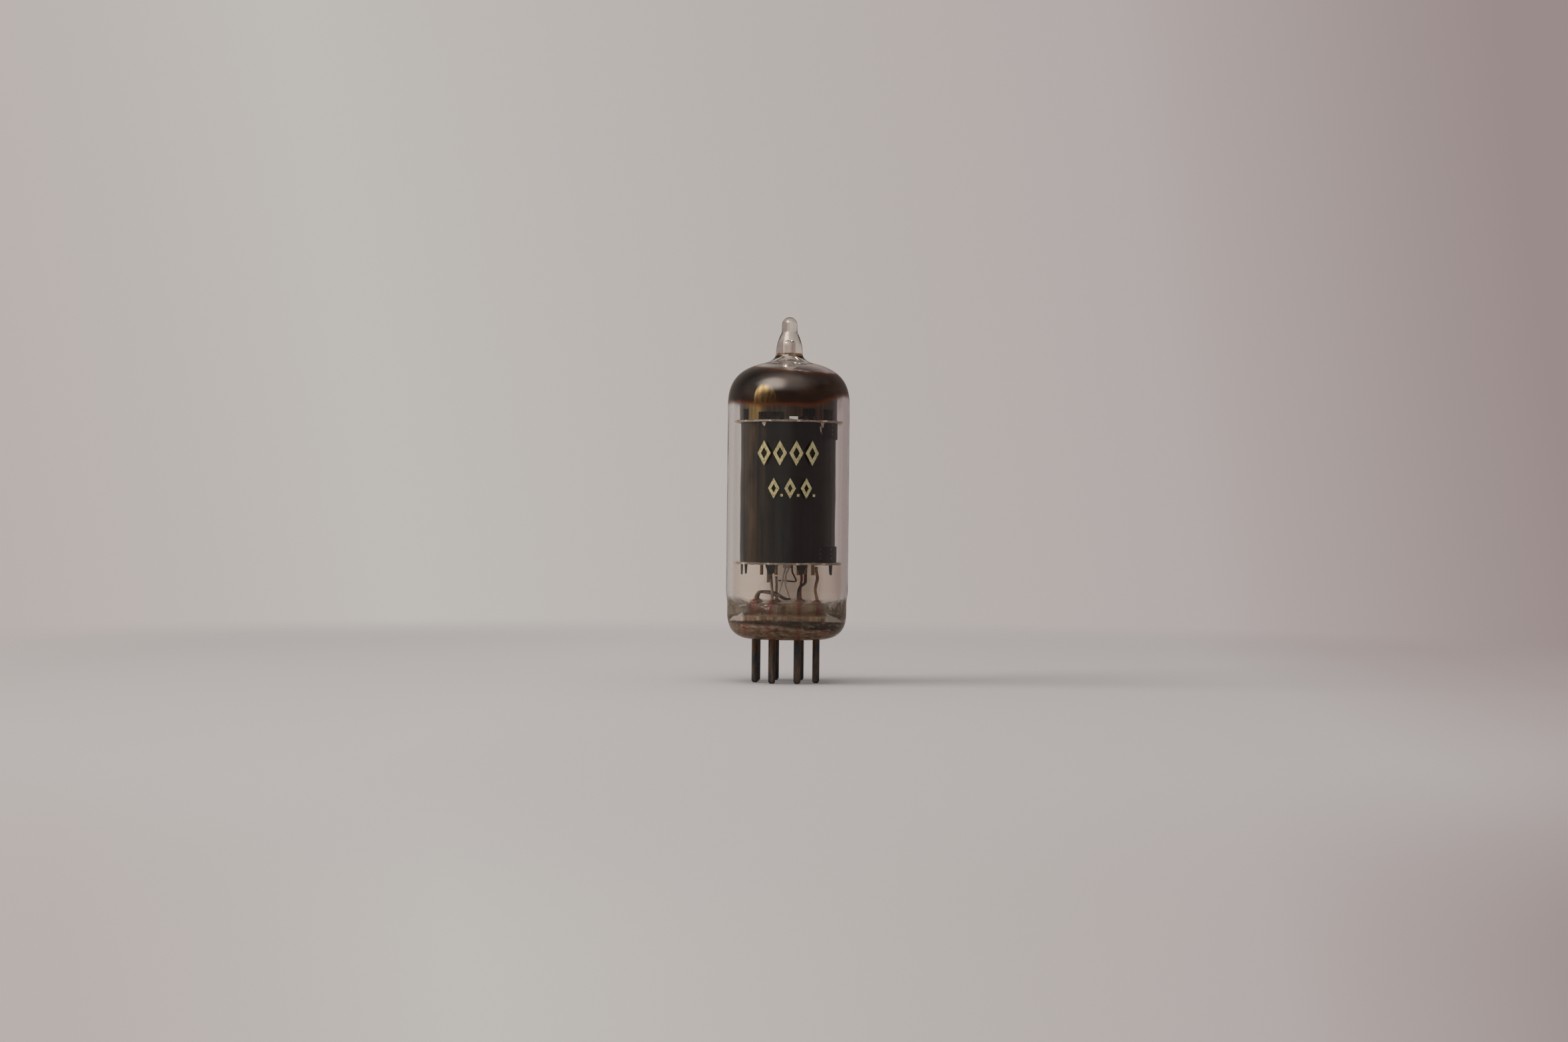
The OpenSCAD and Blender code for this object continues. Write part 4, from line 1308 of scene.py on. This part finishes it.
def make_world():
    """Plain light all round. The camera sees a pale backdrop, painted darker to the right as shade,
    glass sees it dim towards the zenith, and gloss sees it warm and dim in front, with the soft lamps."""
    world = bpy.data.worlds.new("studio")
    bpy.context.scene.world = world
    t = Nodes(world)

    def background(colour, strength=1.0):
        return t.add("Background", {0: colour, 1: strength}).outputs[0]

    place = t.add("TexCoord").outputs["Generated"]
    x, y, z = t.add("SeparateXYZ", {0: place}).outputs
    across = t.range(t.plus(x, t.times(z, BACKDROP_LEAN)), -BACKDROP_W, BACKDROP_W, kind="LINEAR")
    backdrop = t.ramp(across, *BACKDROP)
    through = t.tint(backdrop, t.range(z, 0.35, 0.85, 1.0, 0.12))
    gloss = background(t.tint(t.tint(backdrop, t.range(y, -0.6, 0.9, 0.05, 0.5)), WARM))
    for azimuth, elevation, outer, radiance, foot, tone in SOFT_LAMPS:
        inputs = {0: place, 1: way(azimuth, elevation)}
        facing = t.add("VectorMath", inputs, operation="DOT_PRODUCT").outputs["Value"]
        strength = t.math("POWER", t.range(facing, math.cos(math.radians(outer)), 1), 2)
        strength = t.times(strength, t.range(z, foot, foot + 0.3, 0, radiance))
        gloss = t.add("AddShader", {0: gloss, 1: background(tone, strength)}).outputs[0]
    path = t.add("LightPath").outputs
    shader = t.mix_shaders(path["Is Glossy Ray"], background(AMBIENT_TONE, AMBIENT), gloss)
    shader = t.mix_shaders(path["Is Transmission Ray"], shader, background(through))
    shader = t.mix_shaders(path["Is Camera Ray"], shader, background(backdrop))
    t.add("OutputWorld", {0: shader})


def make_lights():
    """Soft panels that face the tube."""
    for name, azimuth, elevation, distance, size, power in PANELS:
        toward = way(azimuth, elevation)
        data = bpy.data.lights.new(name, "AREA")
        data.size = size * MM
        data.energy = power
        light = bpy.data.objects.new(name, data)
        light.location = (PANEL_AIM + toward * distance) * MM
        light.rotation_euler = (-toward).to_track_quat("-Z", "Y").to_euler()
        light.visible_glossy = False
        bpy.context.scene.collection.objects.link(light)


def make_camera():
    data = bpy.data.cameras.new("camera")
    data.sensor_width = SENSOR_WIDTH
    data.lens = SENSOR_WIDTH * CAMERA_DISTANCE / VIEW_WIDTH
    data.clip_start = 0.01
    camera = bpy.data.objects.new("camera", data)
    right = Vector((math.cos(CAMERA_AZIMUTH), math.sin(CAMERA_AZIMUTH), 0))
    back = Vector((math.sin(CAMERA_AZIMUTH), -math.cos(CAMERA_AZIMUTH), 0))
    place = back * CAMERA_DISTANCE + right * CAMERA_SHIFT_X + Vector((0, 0, CAMERA_Z))
    camera.location = place * MM
    camera.rotation_mode = "QUATERNION"
    camera.rotation_quaternion = (-back).to_track_quat("-Z", "Y") @ Quaternion((0, 0, 1), CAMERA_ROLL)
    bpy.context.scene.collection.objects.link(camera)
    bpy.context.scene.camera = camera


paint_solids()
make_glass()
make_haze()
make_film()
make_print()
make_mica_layers(
    "upper_mica_layers",
    layers=[(DECK_Z + 0.03, 0.5), (DECK_Z - 0.12, 0.3), (CAGE_TOP_Z - 0.04, 0.45)],
    seed=4,
    flakes=[
        (-3.0, CAGE_TOP_Z, 0.62, 0.62),
        (5.0, CAGE_TOP_Z, 0.75, 0.7),
        (4.75, CAGE_TOP_Z - 0.8, 0.7, 0.3),
    ],
)
make_mica_layers(
    "lower_mica_layers",
    layers=[(LOW_MICA_Z - 0.03, 0.5), (LOW_MICA_Z + 0.12, 0.3), (CAGE_Z + 0.03, 0.45)],
    seed=9,
    flakes=[],
)
make_welds()
make_floor()
make_world()
make_lights()
make_camera()
bpy.context.scene.view_settings.view_transform = "Standard"
